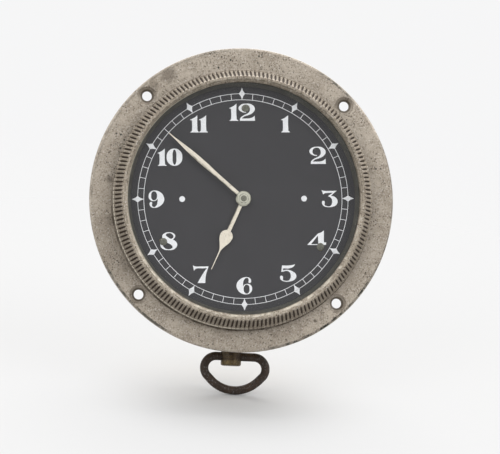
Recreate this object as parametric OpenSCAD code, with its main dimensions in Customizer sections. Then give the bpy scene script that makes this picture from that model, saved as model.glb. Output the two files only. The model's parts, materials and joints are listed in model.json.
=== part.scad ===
// Dashboard clock, eight day, wound and set by a pull-out ring stem below the case
// X points right and Z up as seen by the driver; the dial faces -Y; the panel face is Y = 0

/* [Mounting flange] */
// Width of the mounting flange outside the case
flange_width = 10; // [9:0.5:14]
// Thickness of the flange
flange_thick = 1.6; // [1.2:0.1:1.8]
// Distance of the panel screws from the edge of the flange
screw_inset = 4; // [3.8:0.1:4.5]
// Radius of a panel screw hole
panel_hole_r = 1.6; // [1.5:0.1:2]
// Radius of the countersink at the flange face
sink_r = 3.1; // [2.6:0.1:3.2]

/* [Case] */
// Outer radius of the case behind the panel
case_r = 40; // [39.6:0.1:41]
// Wall of the drawn case
case_wall = 0.8; // [0.6:0.1:1]
// Depth of the case behind the panel
case_depth = 21; // [19.5:0.5:30]
// Height of the threaded rim in front of the panel
rim_height = 4.2; // [4:0.1:4.5]
// Step out from the case to its threaded rim
rim_step = 1.1; // [1:0.1:1.2]
// Thickness of the back cover
cover_thick = 0.8; // [0.6:0.1:1.2]
// Number of back cover screws
cover_screws = 4; // [3:1:6]

/* [Bezel and glass] */
// Height of the bezel lip above the panel
bezel_height = 9.3; // [9.1:0.1:10]
// How far the lip reaches over the edge of the glass
lip_cover = 1.6; // [0.9:0.1:1.8]
// Width of the lip, with its inner slope
lip_width = 2.1; // [2:0.1:2.6]
// Width of the slope inside the lip
lip_slope = 1.1; // [0.8:0.1:1.2]
// Wall of the bezel round the threaded rim, at the foot of the reeding
bezel_wall = 1; // [1:0.1:1.6]
// Height of the plain skirt below the reeding
skirt_height = 3.3; // [2.9:0.1:3.6]
// Step out from the reeding to the plain skirt
skirt_step = 0.4; // [0.2:0.1:0.6]
// Number of reeds round the bezel
reeds = 188; // [120:4:220]
// Depth of a reed
reed_depth = 0.36; // [0.2:0.02:0.4]
// Thickness of the lip in front of the glass
lip_thick = 1; // [0.8:0.1:1.2]
// Thickness of the glass
glass_thick = 1; // [0.8:0.1:1.2]

/* [Dial and hands] */
// How much smaller the dial is than the case, in radius
dial_step = 0.5; // [0.4:0.1:0.8]
// Thickness of the dial
dial_thick = 0.6; // [0.4:0.1:0.7]
// Radius of the circle of dial screws
dial_screw_circle = 30; // [28:0.5:31]
// Length of the minute hand
minute_length = 32.4; // [28:0.2:34]
// Length of the hour hand
hour_length = 25.4; // [22:0.2:27]
// Angle of the minute hand from twelve, in degrees
minute_angle = 308.6; // [0:0.1:360]
// Angle of the hour hand from twelve, in degrees
hour_angle = 202.1; // [0:0.1:360]
// Thickness of a hand
hand_thick = 0.3; // [0.2:0.05:0.35]

/* [Plates] */
// Radius of the front plate
front_plate_r = 34; // [33.5:0.5:36]
// Radius of the back plate
back_plate_r = 33.5; // [33.5:0.5:35]
// Thickness of each plate
plate_thick = 1.5; // [1.2:0.1:1.6]
// Space between the plates
plate_gap = 7.5; // [7.4:0.1:9]
// Radius of the circle of pillars
pillar_circle = 31; // [30.5:0.1:31.2]
// Radius of a pillar
pillar_r = 2; // [1.8:0.1:2.2]

/* [Going train] */
// Teeth of the barrel
barrel_teeth = 80; // [80:1:81]
// Module of the barrel
barrel_module = 0.35; // [0.34:0.005:0.355]
// Module of the intermediate wheel
intermediate_module = 0.3; // [0.29:0.005:0.305]
// Module of the centre wheel
centre_module = 0.2; // [0.195:0.001:0.202]
// Module of the third wheel
third_module = 0.2; // [0.195:0.001:0.205]
// Module of the fourth wheel
fourth_module = 0.18; // [0.175:0.001:0.182]
// Radius of the escape wheel at its tooth tips
escape_r = 4.5; // [4.4:0.05:4.6]
// Outer radius of the balance
balance_r = 6.8; // [6.4:0.1:6.9]
// Distance from pallet arbor to balance staff
lever_centres = 7.6; // [7.5:0.05:7.8]

/* [Motion work] */
// Module of the cannon pinion and the minute wheel
motion_module = 0.3; // [0.29:0.005:0.305]

/* [Winding work] */
// Distance from the panel to the stem axis
stem_depth = 13.8; // [13.7:0.1:14.2]
// Radius of the winding stem
stem_r = 1; // [0.9:0.05:1.05]
// Travel of the stem when it is pulled out to set the hands
stem_travel = 2.2; // [2:0.1:2.3]
// Module of the winding wheels
winding_module = 0.6; // [0.58:0.005:0.605]
// Distance from the hands to the crown wheel
crown_drop = 20; // [19.8:0.1:20.2]

/* [Ring pull] */
// Radius of the boss at the end of the stem
boss_r = 3.375; // [3.2:0.05:3.6]
// Height of the boss
boss_height = 10.5; // [9.5:0.2:11.5]
// Radius of the loop wire
wire_r = 1.4; // [1.2:0.05:1.5]
// Half width of the loop at its wire centre
loop_half_w = 10.2; // [9.8:0.1:11]
// Height of the loop at its wire centre
loop_height = 11.15; // [10.8:0.05:12]
// Radius of the loop's shoulders
shoulder_r = 3.9; // [3.6:0.1:4.2]
// How far the loop has slid to the right in its boss
loop_shift = 1.4; // [0:0.1:2]

/* [Fits] */
// Radial clearance of a running fit
running = 0.05; // [0.03:0.01:0.07]
// Radial clearance of a fixed fit
fixed = 0.02; // [0.01:0.01:0.04]

/* [Hidden] */
$fn = 72;

// Colours
nickel = [0.68, 0.65, 0.59];
brass = [0.78, 0.64, 0.36];
steel = [0.60, 0.61, 0.63];
blue_steel = [0.22, 0.27, 0.42];
dial_black = [0.25, 0.25, 0.27];
cream = [0.88, 0.85, 0.78];
bronze = [0.22, 0.18, 0.16];
olive_brass = [0.38, 0.33, 0.22];

// Plan geometry: points are [x, z] as seen from the front
function polar(r, a) = [r * cos(a), r * sin(a)];
function heading(from, to) = atan2(to[1] - from[1], to[0] - from[0]);
function pitch_r(teeth, mod) = teeth * mod / 2;
// Point at distance a from p and b from q, on the left of the way from p to q
function meet(p, a, q, b) =
  let (d = norm(q - p), along = (a * a - b * b + d * d) / (2 * d), aside = sqrt(a * a - along * along), h = heading(p, q))
  p + polar(along, h) + polar(aside, h + 90);
// Turn of a wheel's first tooth that puts it in mesh with another
function meshed(turn, teeth_a, teeth_b, way) = way + 180 + 180 / teeth_b - (turn - way) * teeth_a / teeth_b;

addendum = 0.9;
dedendum = 1.15;
root_share = 0.22;
tip_share = 0.10;

// Levels, as distances from the panel
front_plate_front = -0.6;
front_in = front_plate_front + plate_thick;
back_in = front_in + plate_gap;
back_out = back_in + plate_thick;
dial_back = -rim_height;
dial_front = dial_back - dial_thick;
glass_front = -(bezel_height - lip_thick);
glass_back = glass_front + glass_thick;

// Flange, case and bezel: radii worked outwards and inwards from the case
flange_r = case_r + flange_width;
flange_edge = 0.7;
flange_rear_edge = 0.2;
screw_circle_r = flange_r - screw_inset;
sink_depth = 0.9;
rim_r = case_r + rim_step;
rim_land = 1.2;
rim_lap = 0.4;
thread_gap = 0.1;
thread_land = 0.2;
bezel_bore_r = rim_r + thread_gap;
dial_r = case_r - dial_step;
seat_r = dial_r + thread_gap;
aperture_r = dial_r - lip_cover;
lip_drop = 0.55;
lip_r = aperture_r + lip_width;
lip_height = 0.4;
lip_round = 0.4;
reed_foot_r = bezel_bore_r + bezel_wall;
skirt_r = reed_foot_r + skirt_step;
skirt_round = 0.3;
spacer_slope = 1;
rear_lip = 4;
rear_lip_thick = 0.8;
cover_rim = 6;
cover_inset = 0.3;
cover_rise = 1.6;
cover_screw_r = 0.8;
cover_screw_depth = 1.6;
cover_head_r = 1.5;
cover_head = 0.8;
cover_screw_circle = case_r - 2.4;

// Screws and posts of the dial and the plates
dial_head_r = 1.5;
dial_head = 0.5;
dial_shank_r = 0.6;
dial_slot_w = 0.3;
dial_slot_depth = 0.25;
dial_screw_reach = 2;
dial_screw_gap = 0.25;
post_r = 1.6;
spigot_r = 1;
plate_head_r = 1.6;
plate_head = 0.8;
plate_shank_r = 0.7;
plate_shank_reach = 3;
dial_centre_gap = 0.5;

// Going train: teeth, pitch radii and places
intermediate_teeth = 48;
centre_teeth = 80;
third_teeth = 75;
fourth_teeth = 80;
escape_teeth = 15;
first_pinion = 10;
centre_pinion = 12;
third_pinion = 10;
fourth_pinion = 10;
escape_pinion = 8;
centre_at = [0, 0];
crown_at = [0, -crown_drop];
crown_teeth = 24;
ratchet_teeth = 28;
crown_r = pitch_r(crown_teeth, winding_module);
ratchet_r = pitch_r(ratchet_teeth, winding_module);
barrel_way = 148.4;
barrel_at = crown_at + polar(crown_r + ratchet_r, barrel_way);
barrel_r = pitch_r(barrel_teeth, barrel_module);
intermediate_at = meet(barrel_at, barrel_r + pitch_r(first_pinion, barrel_module), centre_at,
  pitch_r(intermediate_teeth + centre_pinion, intermediate_module));
third_at = centre_at + polar(pitch_r(centre_teeth + third_pinion, centre_module), 60);
fourth_at = third_at + polar(pitch_r(third_teeth + fourth_pinion, third_module), 14);
escape_at = fourth_at + polar(pitch_r(fourth_teeth + escape_pinion, fourth_module), -71);
escape_centres = escape_r / cos(30);
pallet_way = -60;
pallet_at = escape_at + polar(escape_centres, pallet_way);
balance_at = pallet_at + polar(lever_centres, -109.5);

// Turn of every wheel at rest
centre_turn = 0;
centre_pinion_turn = 0;
barrel_pinion_turn = 0;
intermediate_turn = meshed(centre_pinion_turn, centre_pinion, intermediate_teeth, heading(centre_at, intermediate_at));
barrel_turn = meshed(barrel_pinion_turn, first_pinion, barrel_teeth, heading(intermediate_at, barrel_at));
third_pinion_turn = meshed(centre_turn, centre_teeth, third_pinion, heading(centre_at, third_at));
fourth_pinion_turn = meshed(0, third_teeth, fourth_pinion, heading(third_at, fourth_at));
escape_pinion_turn = meshed(0, fourth_teeth, escape_pinion, heading(fourth_at, escape_at));
escape_step = 360 / escape_teeth;
escape_turn = pallet_way + 30 + escape_step / 4;

// Levels between the plates, from the front plate's inner face
barrel_floor = [0.4, 1.1];
barrel_top = 4.4;
barrel_lid = 0.5;
first_pinion_level = [0.3, 1.5];
third_wheel_level = [0.7, 1.2];
fourth_pinion_level = [0.5, 1.4];
escape_wheel_level = [1.55, 2.1];
escape_pinion_level = [2.8, 3.8];
fourth_wheel_level = [3.1, 3.6];
balance_level = [4, 4.8];
roller_level = [2.35, 2.7];
spring_level = [6, 6.4];
third_pinion_level = [5, 5.8];
centre_wheel_level = [5.2, 5.6];
centre_pinion_level = [5.9, 6.9];
intermediate_level = [6.2, 6.7];
end_shake = 0.05;

// Arbors
body_r = 0.55;
pivot_r = 0.3;
centre_arbor_r = 0.9;
centre_collar_r = 1.3;
centre_collar = 0.35;
clutch_thick = 0.2;
clutch_front = front_in + centre_wheel_level[0] - end_shake - clutch_thick;
hand_arbor_r = 0.55;
barrel_front_r = 1.2;
barrel_shoulder_r = 1.6;
barrel_rear_r = 2.2;
barrel_hub_r = 3.2;
staff_pivot_r = 0.2;
wheel_hub_r = 1.4;
drum_r = barrel_r - 1;
drum_wall = 0.6;
square_w = 2.6;

// Motion work
cannon_teeth = 12;
minute_teeth = 36;
minute_pinion = 10;
hour_teeth = 40;
motion_centres = pitch_r(cannon_teeth + minute_teeth, motion_module);
hour_module = 2 * motion_centres / (hour_teeth + minute_pinion);
minute_way = 200;
minute_at = centre_at + polar(motion_centres, minute_way);
minute_turn = meshed(0, cannon_teeth, minute_teeth, minute_way);
hour_turn = meshed(0, minute_pinion, hour_teeth, minute_way + 180);
cannon_level = [-2, -0.9];
minute_level = [-1.8, -1.3];
hour_level = [-3.1, -2.5];
stud_top = -3.8;
stud_r = 0.5;
cannon_r = 1;
hour_pipe_r = 1.5;
hour_hand_level = -5.3;
minute_hand_level = -6.2;
cannon_top = -6.8;
arbor_top = -7;
hour_hub_r = 2.5;
minute_hub_r = 1.95;

// Winding work, behind the back plate
winding_gap = 0.3;
disc_thick = 1;
disc_front = back_out + winding_gap;
disc_back = disc_front + disc_thick;
contrate_height = 1.1;
pinion_teeth = 8;
pinion_tip_r = 2.4;
pinion_root_r = 1.45;
pinion_height = 1.6;
crown_ring = [5.4, 6.6];
crown_ring_teeth = 24;
setting_ring = [4.4, 5.6];
setting_teeth = 20;
setting_pinion_top = stem_travel + 0.6 - setting_ring[0];
winding_pinion_low = -crown_drop - crown_ring[1] - 0.2;
upper_cock = [-10.5, -7.7];
lower_cock_thick = 2;
lower_cock_top = winding_pinion_low - stem_travel - 0.6;
lower_cock = [lower_cock_top - lower_cock_thick, lower_cock_top];
cock_block_r = 3;
cock_foot = 1.2;
cock_screw_r = 0.7;
cock_head_r = 1.2;
cock_head = 0.8;
// Where the click drops in; it is drawn lifted, just over the tooth tips
click_tip_way = 225;
ratchet_turn = click_tip_way + 180 / ratchet_teeth;
crown_turn = meshed(ratchet_turn, ratchet_teeth, crown_teeth, heading(barrel_at, crown_at));
click_reach = 6;
click_tip = barrel_at + polar(ratchet_r - 0.3, click_tip_way);
click_at = click_tip + polar(click_reach, click_tip_way + 58);
click_rest_lift = 10.5;
click_way = heading(click_at, click_tip) + click_rest_lift;
click_r = 1.5;
click_shoulder_r = 0.8;
click_spring_foot = click_at + polar(6, 165);
click_spring_touch = click_at + polar(2.2, click_way) + polar(2.05, click_way + 90);

// Stem, below the movement
collar_r = 1.8;
collar = [lower_cock[0] - 0.35 - 0.6, lower_cock[0] - 0.35];
washer = [collar[0] - end_shake - 0.7, collar[0] - end_shake];
washer_r = 2.1;
bush_inner = -(case_r - case_wall - 1);
bush_r = 2.95;
bush_flange_r = 4.2;
bush_flange = 1;
bush_reach = 3;
boss_gap = 0.5;
loop_rise = 3.1;
bush_end = -(case_r + bush_reach);
boss_top = bush_end - boss_gap;
boss_bottom = boss_top - boss_height;
boss_socket = 3.5;
loop_z = boss_bottom + loop_rise;

// Balance cock
cock_way = -31;
cock_thick = 1.5;
cock_reach = 11.6;
cock_r = 3.2;
foot_at = balance_at + polar(cock_reach, cock_way);
window_r = 5.5;
stud_way = 62;
hairspring_r = 4.3;
hairspring_inner_r = 1.15;
hairspring_turns = 8;
coil_pitch = (hairspring_r - hairspring_inner_r) / hairspring_turns;
curb_way = cock_way + 180;
curb_r = hairspring_r - coil_pitch * (stud_way - curb_way + 360) / 360;
curb_pin_r = 0.07;
regulator_r = 1.9;
regulator_boss_r = 1.2;
regulator_thick = 0.5;

pillar_ways = [25, 105, 165, 300];
dial_post_ways = [for (i = [0 : 2]) 90 - 120 * i];
panel_ways = [for (i = [0 : 3]) 45 + 90 * i];

// Flat shape seen from the front, filled from one depth to a nearer one
module slab(near, far) {
  translate([0, far, 0]) rotate([90, 0, 0]) linear_extrude(far - near) children();
}
// Turned about the clock's own axis; the profile is drawn as [radius, depth]
module turned(profile) {
  rotate([-90, 0, 0]) rotate_extrude($fn = 144) polygon(profile);
}
module disc(r, near, far) {
  translate([0, near, 0]) rotate([-90, 0, 0]) cylinder(h = far - near, r = r);
}
module at(p) {
  translate([p[0], 0, p[1]]) children();
}
// Bar with round ends, as a flat shape
module bar(p, q, r) {
  translate(p) circle(r);
  translate(q) circle(r);
  translate(p) rotate(heading(p, q)) translate([0, -r]) square([norm(q - p), 2 * r]);
}
function tooth(a, step, root, tip) = [
  polar(root, a - root_share * step), polar(tip, a - tip_share * step),
  polar(tip, a + tip_share * step), polar(root, a + root_share * step)];
module gear_shape(teeth, mod, turn) {
  r = pitch_r(teeth, mod);
  polygon([for (i = [0 : teeth - 1])
    each tooth(turn + i * 360 / teeth, 360 / teeth, r - dedendum * mod, r + addendum * mod)]);
}
// Ring of windows that leaves spokes between hub and rim
module windows(hub, rim, spokes, spoke_w) {
  difference() {
    circle(rim);
    circle(hub);
    for (i = [0 : spokes - 1]) rotate(i * 360 / spokes) translate([0, -spoke_w / 2]) square([rim, spoke_w]);
  }
}
module wheel(teeth, mod, turn, level, bore, spokes = 4) {
  slab(level[0], level[1]) difference() {
    gear_shape(teeth, mod, turn);
    windows(wheel_hub_r + 0.6, pitch_r(teeth, mod) - 4 * mod, spokes, 0.8);
    circle(bore);
  }
}
module pinion(teeth, mod, turn, level) {
  slab(level[0], level[1]) gear_shape(teeth, mod, turn);
}
// Teeth that stand on a disc, facing the back
module contrate_teeth(teeth, ring, turn) {
  mean = (ring[0] + ring[1]) / 2;
  half = 360 / teeth * 0.14;
  slab(disc_back - 0.1, disc_back + contrate_height) for (i = [0 : teeth - 1]) rotate(turn + i * 360 / teeth)
    polygon([polar(ring[0], -half * mean / ring[0]), polar(ring[1], -half * mean / ring[1]),
      polar(ring[1], half * mean / ring[1]), polar(ring[0], half * mean / ring[0])]);
}
// Ribbon wound in a flat spiral
function spiral(r0, r1, turns, offset) = [for (i = [0 : turns * 24])
  polar(r0 + (r1 - r0) * i / (turns * 24) + offset, i * 15)];
function backwards(list) = [for (i = [len(list) - 1 : -1 : 0]) list[i]];
module spiral_ribbon(r0, r1, turns, thick) {
  polygon(concat(spiral(r0, r1, turns, thick / 2), backwards(spiral(r0, r1, turns, -thick / 2))));
}
// Screw from behind: head between two depths, shank running forward from it
module rear_screw(head_r, head_near, head_thick, shank_r, shank_front) {
  difference() {
    disc(head_r, head_near, head_near + head_thick);
    translate([-head_r, head_near + head_thick * 0.6, -0.2]) cube([2 * head_r, head_thick, 0.4]);
  }
  disc(shank_r, shank_front, head_near + 0.01);
}
// Train arbor from plate to plate, with a pivot at each end
module arbor(r = body_r, pivot = pivot_r) {
  disc(r, front_in + end_shake, back_in - end_shake);
  disc(pivot, front_in - 1.2, back_in + 1.2);
}

// Case

module mounting_flange() color(nickel) {
  difference() {
    turned(concat([[case_r + fixed, -flange_thick]],
      [for (a = [0, 45, 90]) [flange_r - flange_edge * (1 - sin(a)), -flange_thick + flange_edge * (1 - cos(a))]],
      [[flange_r, -flange_rear_edge], [flange_r - flange_rear_edge, 0], [case_r + fixed, 0]]));
    for (a = panel_ways) at(polar(screw_circle_r, a)) rotate([-90, 0, 0]) translate([0, 0, -flange_thick])
      rotate_extrude() polygon([[0, -1], [2 * sink_r - panel_hole_r, -sink_depth],
        [panel_hole_r, sink_depth], [panel_hole_r, flange_thick + 1], [0, flange_thick + 1]]);
  }
}
module case_shell() color(brass) {
  inner = case_r - case_wall;
  difference() {
    turned([[inner - rim_lap, -rim_height], [rim_r, -rim_height], [rim_r, -flange_thick], [case_r, -flange_thick],
      [case_r, case_depth], [inner - rear_lip, case_depth], [inner - rear_lip, case_depth - rear_lip_thick],
      [inner, case_depth - rear_lip_thick], [inner, -rim_land], [inner - rim_lap, -rim_land]]);
    translate([0, stem_depth, -case_r - 1]) cylinder(h = 6, r = bush_r + fixed);
    for (i = [0 : cover_screws - 1]) at(polar(cover_screw_circle, 45 + i * 360 / cover_screws))
      disc(cover_screw_r + fixed, case_depth - 2, case_depth + 1);
  }
}
module back_cover() color(brass) {
  step_r = case_r - cover_rim;
  face = case_depth;
  back = face + cover_rise;
  difference() {
    turned([[0, back - cover_thick], [step_r - 2 * cover_thick, back - cover_thick], [step_r - cover_thick, face],
      [case_r - cover_inset, face], [case_r - cover_inset, face + cover_thick], [step_r, face + cover_thick],
      [step_r - 0.9 * cover_thick, back], [0, back]]);
    for (i = [0 : cover_screws - 1]) at(polar(cover_screw_circle, 45 + i * 360 / cover_screws))
      disc(cover_screw_r + 0.1, face - 1, face + 3);
  }
}
module back_cover_screws() color(steel) {
  for (i = [0 : cover_screws - 1]) at(polar(cover_screw_circle, 45 + i * 360 / cover_screws))
    rear_screw(cover_head_r, case_depth + cover_thick, cover_head, cover_screw_r, case_depth - cover_screw_depth);
}
module bezel() color(nickel) {
  foot = -flange_thick - skirt_height;
  top = -(bezel_height - lip_height);
  reed_pitch = 360 / reeds;
  difference() {
    union() {
      translate([0, foot, 0]) rotate([90, 0, 0]) linear_extrude(foot - top, scale = (lip_r - 0.05) / reed_foot_r)
        polygon([for (i = [0 : reeds - 1]) each [polar(reed_foot_r - reed_depth, (i - 0.3) * reed_pitch),
          polar(reed_foot_r, (i - 0.12) * reed_pitch), polar(reed_foot_r, (i + 0.12) * reed_pitch),
          polar(reed_foot_r - reed_depth, (i + 0.3) * reed_pitch)]]);
      turned([[0, foot - 0.1], [skirt_r - skirt_round, foot - 0.1], [skirt_r, foot + skirt_round],
        [skirt_r, -flange_thick], [0, -flange_thick]]);
      turned([[0, top + 0.1], [lip_r, top + 0.1], [lip_r, top - 0.1],
        [lip_r - 0.4 * lip_round, 0.25 * lip_round - bezel_height], [lip_r - lip_round, -bezel_height],
        [0, -bezel_height]]);
    }
    turned([[0, -bezel_height - 1], [aperture_r + lip_slope, -bezel_height - 1],
      [aperture_r + lip_slope, -bezel_height], [aperture_r, lip_drop - bezel_height], [aperture_r, glass_front], [seat_r, glass_front], [seat_r, dial_back - thread_land],
      [bezel_bore_r, dial_back - thread_land], [bezel_bore_r, 1], [0, 1]]);
  }
}
module glass() color([0.85, 0.9, 0.9, 0.3]) {
  disc(dial_r, glass_front, glass_back);
}
module spacer_ring() color(dial_black) {
  turned([[aperture_r - 0.1, glass_back], [dial_r, glass_back], [dial_r, dial_front],
    [aperture_r - 0.1 - spacer_slope, dial_front]]);
}

// Dial and hands

module dial() color(dial_black) {
  difference() {
    disc(dial_r, dial_front, dial_back);
    disc(hour_pipe_r + dial_centre_gap, dial_front - 1, dial_back + 1);
    for (a = dial_post_ways) at(polar(dial_screw_circle, a))
      disc(dial_shank_r + dial_screw_gap, dial_front - 1, dial_back + 1);
  }
}
module dial_screws() color(dial_black) {
  for (a = dial_post_ways) at(polar(dial_screw_circle, a)) {
    difference() {
      disc(dial_head_r, dial_front - dial_head, dial_front);
      rotate([0, a, 0]) translate([-2 * dial_head_r, dial_front - dial_head - 1, -dial_slot_w / 2])
        cube([4 * dial_head_r, dial_slot_depth + 1, dial_slot_w]);
    }
    disc(dial_shank_r, dial_front - 0.01, dial_back + dial_screw_reach);
  }
}
module dial_posts() color(brass) {
  for (a = dial_post_ways) at(polar(dial_screw_circle, a)) difference() {
    union() {
      disc(post_r, dial_back, front_plate_front);
      disc(spigot_r, front_plate_front - 0.01, front_in);
    }
    disc(dial_shank_r + fixed, dial_back - 1, dial_back + 1.15 * dial_screw_reach);
  }
}
// Hand outline from half widths along its length
module hand_blade(stations) {
  polygon(concat([for (s = stations) [s[1], s[0]]], [for (s = backwards(stations)) [-s[1], s[0]]]));
}
function pear(r, mid, half, shaft, tail) =
  r < mid - half ? shaft :
  r < mid ? max(shaft, sqrt(max(0, half * half - (r - mid) * (r - mid)))) :
  shaft * 0.3 + (half - shaft * 0.3) * (1 + cos(180 * min(1, (r - mid) / tail))) / 2;
module hour_hand() color(cream) {
  shaft = 0.62;
  mid = hour_length * 0.535;
  half = 2.1;
  tail = 5.6;
  slab(hour_hand_level - hand_thick, hour_hand_level) difference() {
    union() {
      rotate(-hour_angle) hand_blade(concat([[1.8, shaft]],
        [for (i = [0 : 8]) let (r = mid - half * cos(i * 11.25)) [r, pear(r, mid, half, shaft, tail)]],
        [for (i = [1 : 8]) let (r = mid + tail * i / 8) [r, pear(r, mid, half, shaft, tail)]],
        [[hour_length, 0.1]]));
      circle(hour_hub_r);
    }
    circle(hour_pipe_r + fixed);
  }
  slab(hour_hand_level - 0.01, hour_hand_level + 0.4) difference() {
    circle(hour_pipe_r + 0.4);
    circle(hour_pipe_r + fixed);
  }
}
module minute_hand() color(cream) {
  slab(minute_hand_level - hand_thick, minute_hand_level) difference() {
    union() {
      rotate(-minute_angle) hand_blade([[1.5, 0.57], [minute_length * 0.33, 0.61], [minute_length * 0.42, 0.7],
        [minute_length * 0.5, 0.81], [minute_length * 0.61, 0.83], [minute_length * 0.7, 0.755],
        [minute_length * 0.81, 0.5], [minute_length * 0.91, 0.23], [minute_length, 0.12]]);
      circle(minute_hub_r);
    }
    circle(cannon_r + fixed);
  }
  slab(minute_hand_level - hand_thick - 0.2, minute_hand_level + 0.2) difference() {
    circle(cannon_r + 0.45);
    circle(cannon_r + fixed);
  }
}

// Plates

// Plan place and bore radius of every pivot in the front plate
front_bores = [[centre_at, centre_arbor_r], [barrel_at, barrel_front_r], [intermediate_at, pivot_r],
  [third_at, pivot_r], [fourth_at, pivot_r], [escape_at, pivot_r], [pallet_at, pivot_r], [balance_at, staff_pivot_r]];
back_bores = [[centre_at, centre_arbor_r], [barrel_at, barrel_rear_r], [intermediate_at, pivot_r],
  [third_at, pivot_r], [fourth_at, pivot_r], [escape_at, pivot_r], [pallet_at, pivot_r]];

lever_half_w = 0.35;
banking_r = 0.25;
pallet_swing = 5;

module front_plate() color(brass) {
  difference() {
    disc(front_plate_r, front_plate_front, front_in);
    for (b = front_bores) at(b[0]) disc(b[1] + running, front_plate_front - 1, front_in + 1);
    for (a = pillar_ways) at(polar(pillar_circle, a)) disc(spigot_r + fixed, front_plate_front - 1, front_in + 1);
    for (a = dial_post_ways) at(polar(dial_screw_circle, a))
      disc(spigot_r + fixed, front_plate_front - 1, front_in + 1);
    at(minute_at) disc(stud_r + fixed, front_plate_front - 1, front_in + 1);
  }
  // Banking pins, one each side of the lever
  for (s = [-1, 1]) at(pallet_at + polar(4, heading(pallet_at, balance_at))
      + polar(lever_half_w + banking_r + 4 * sin(pallet_swing) + 0.08, heading(pallet_at, balance_at) + 90 * s))
    disc(banking_r, front_in - 0.3, front_in + escape_wheel_level[1]);
}
module back_plate() color(brass) {
  difference() {
    disc(back_plate_r, back_in, back_out);
    for (b = back_bores) at(b[0]) disc(b[1] + running, back_in - 1, back_out + 1);
    for (a = pillar_ways) at(polar(pillar_circle, a)) disc(plate_shank_r + 0.2, back_in - 1, back_out + 1);
    at(balance_at) disc(window_r, back_in - 1, back_out + 1);
    at(crown_at) disc(0.9 + fixed, back_in - 1, back_out + 1);
    at(click_at) disc(cock_screw_r + fixed, back_in - 1, back_out + 1);
    at(click_spring_foot) disc(0.6 + fixed, back_in - 1, back_out + 1);
    for (p = cock_screw_places) at(p[0]) disc(cock_screw_r + fixed, back_in - 1, back_out + 1);
  }
}
module pillars() color(brass) {
  for (a = pillar_ways) at(polar(pillar_circle, a)) difference() {
    union() {
      disc(pillar_r, front_in, back_in);
      disc(spigot_r, front_plate_front, front_in + 0.01);
    }
    disc(plate_shank_r + fixed, back_in - 1.15 * plate_shank_reach, back_in + 1);
  }
}
module plate_screws() color(steel) {
  for (a = pillar_ways) at(polar(pillar_circle, a))
    rear_screw(plate_head_r, back_out, plate_head, plate_shank_r, back_in - plate_shank_reach);
}

// Barrel and its winding

module barrel() color(brass) at(barrel_at) {
  floor_level = front_in * [1, 1] + barrel_floor;
  difference() {
    union() {
      pinion(barrel_teeth, barrel_module, barrel_turn, floor_level);
      disc(drum_r, floor_level[1] - 0.01, front_in + barrel_top);
    }
    disc(drum_r - drum_wall, floor_level[1], front_in + barrel_top + 1);
    disc(barrel_shoulder_r + running, front_in - 1, front_in + barrel_top);
  }
}
module barrel_cover() color(brass) at(barrel_at) {
  difference() {
    disc(drum_r - drum_wall - fixed, front_in + barrel_top - barrel_lid, front_in + barrel_top);
    disc(barrel_shoulder_r + running, front_in, back_in);
  }
}
module barrel_arbor() color(steel) at(barrel_at) {
  difference() {
    union() {
      disc(barrel_front_r, front_plate_front + 0.1, front_in + 0.1);
      disc(barrel_shoulder_r, front_in + end_shake, front_in + barrel_top + 0.2);
      disc(barrel_hub_r, front_in + barrel_floor[1] + end_shake, front_in + barrel_top - barrel_lid - end_shake);
      disc(barrel_rear_r, front_in + barrel_top + 0.1, back_out + 0.1);
      translate([-square_w / 2, back_out, -square_w / 2]) cube([square_w, winding_gap + disc_thick, square_w]);
    }
    disc(0.6 + fixed, back_in, disc_back + 1);
  }
}
module mainspring() color(blue_steel) at(barrel_at) {
  slab(front_in + barrel_floor[1] + 0.15, front_in + barrel_top - barrel_lid - 0.15)
    spiral_ribbon(barrel_hub_r + 0.4, drum_r - drum_wall - 0.3, 11, 0.22);
}
module ratchet_wheel() color(steel) at(barrel_at) {
  slab(disc_front, disc_back) difference() {
    gear_shape(ratchet_teeth, winding_module, ratchet_turn);
    square(square_w + 2 * fixed, center = true);
  }
}
module ratchet_screw() color(blue_steel) at(barrel_at) rear_screw(2, disc_back, 0.7, 0.6, back_in + 0.4);

// Click, dropped between two ratchet teeth
module click() color(steel) {
  slab(disc_front, disc_back) difference() {
    union() {
      translate(click_at) circle(click_r);
      translate(click_at) rotate(click_way)
        polygon([[0, -1], [click_reach - 3.6, -0.4], [click_reach - 2.2, 0.35], [click_reach - 0.85, 0.42],
          [click_reach - 0.25, -0.05], [click_reach, 0], [click_reach - 0.1, 0.35], [click_reach - 0.6, 1],
          [click_reach - 1.6, 1.2], [click_reach - 3.6, 1.15], [0, 1]]);
    }
    translate(click_at) circle(click_shoulder_r + running);
  }
}
module click_screw() color(blue_steel) at(click_at) {
  rear_screw(1.5, disc_back + end_shake, 0.6, cock_screw_r, back_in + 0.2);
  disc(click_shoulder_r, back_out, disc_back + end_shake + 0.01);
}
// Leaf spring beside the click, held by its own foot
module click_spring() color(blue_steel) {
  slab(disc_front, disc_back - 0.3) {
    translate(click_spring_foot) circle(1.1);
    leaf(click_spring_foot, click_spring_touch, 0.15);
  }
  at(click_spring_foot) disc(0.6, back_out - 1, disc_front + 0.01);
}
module leaf(p, q, half) {
  translate(p) rotate(heading(p, q)) translate([0, -half]) square([norm(q - p), 2 * half]);
}

// Going train

module intermediate_wheel() color(brass) at(intermediate_at)
  wheel(intermediate_teeth, intermediate_module, intermediate_turn, front_in * [1, 1] + intermediate_level, body_r + fixed);
module intermediate_arbor() color(steel) at(intermediate_at) {
  arbor();
  pinion(first_pinion, barrel_module, barrel_pinion_turn, front_in * [1, 1] + first_pinion_level);
  disc(1.1, front_in + intermediate_level[0] - 0.4, front_in + intermediate_level[0]);
}
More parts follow.
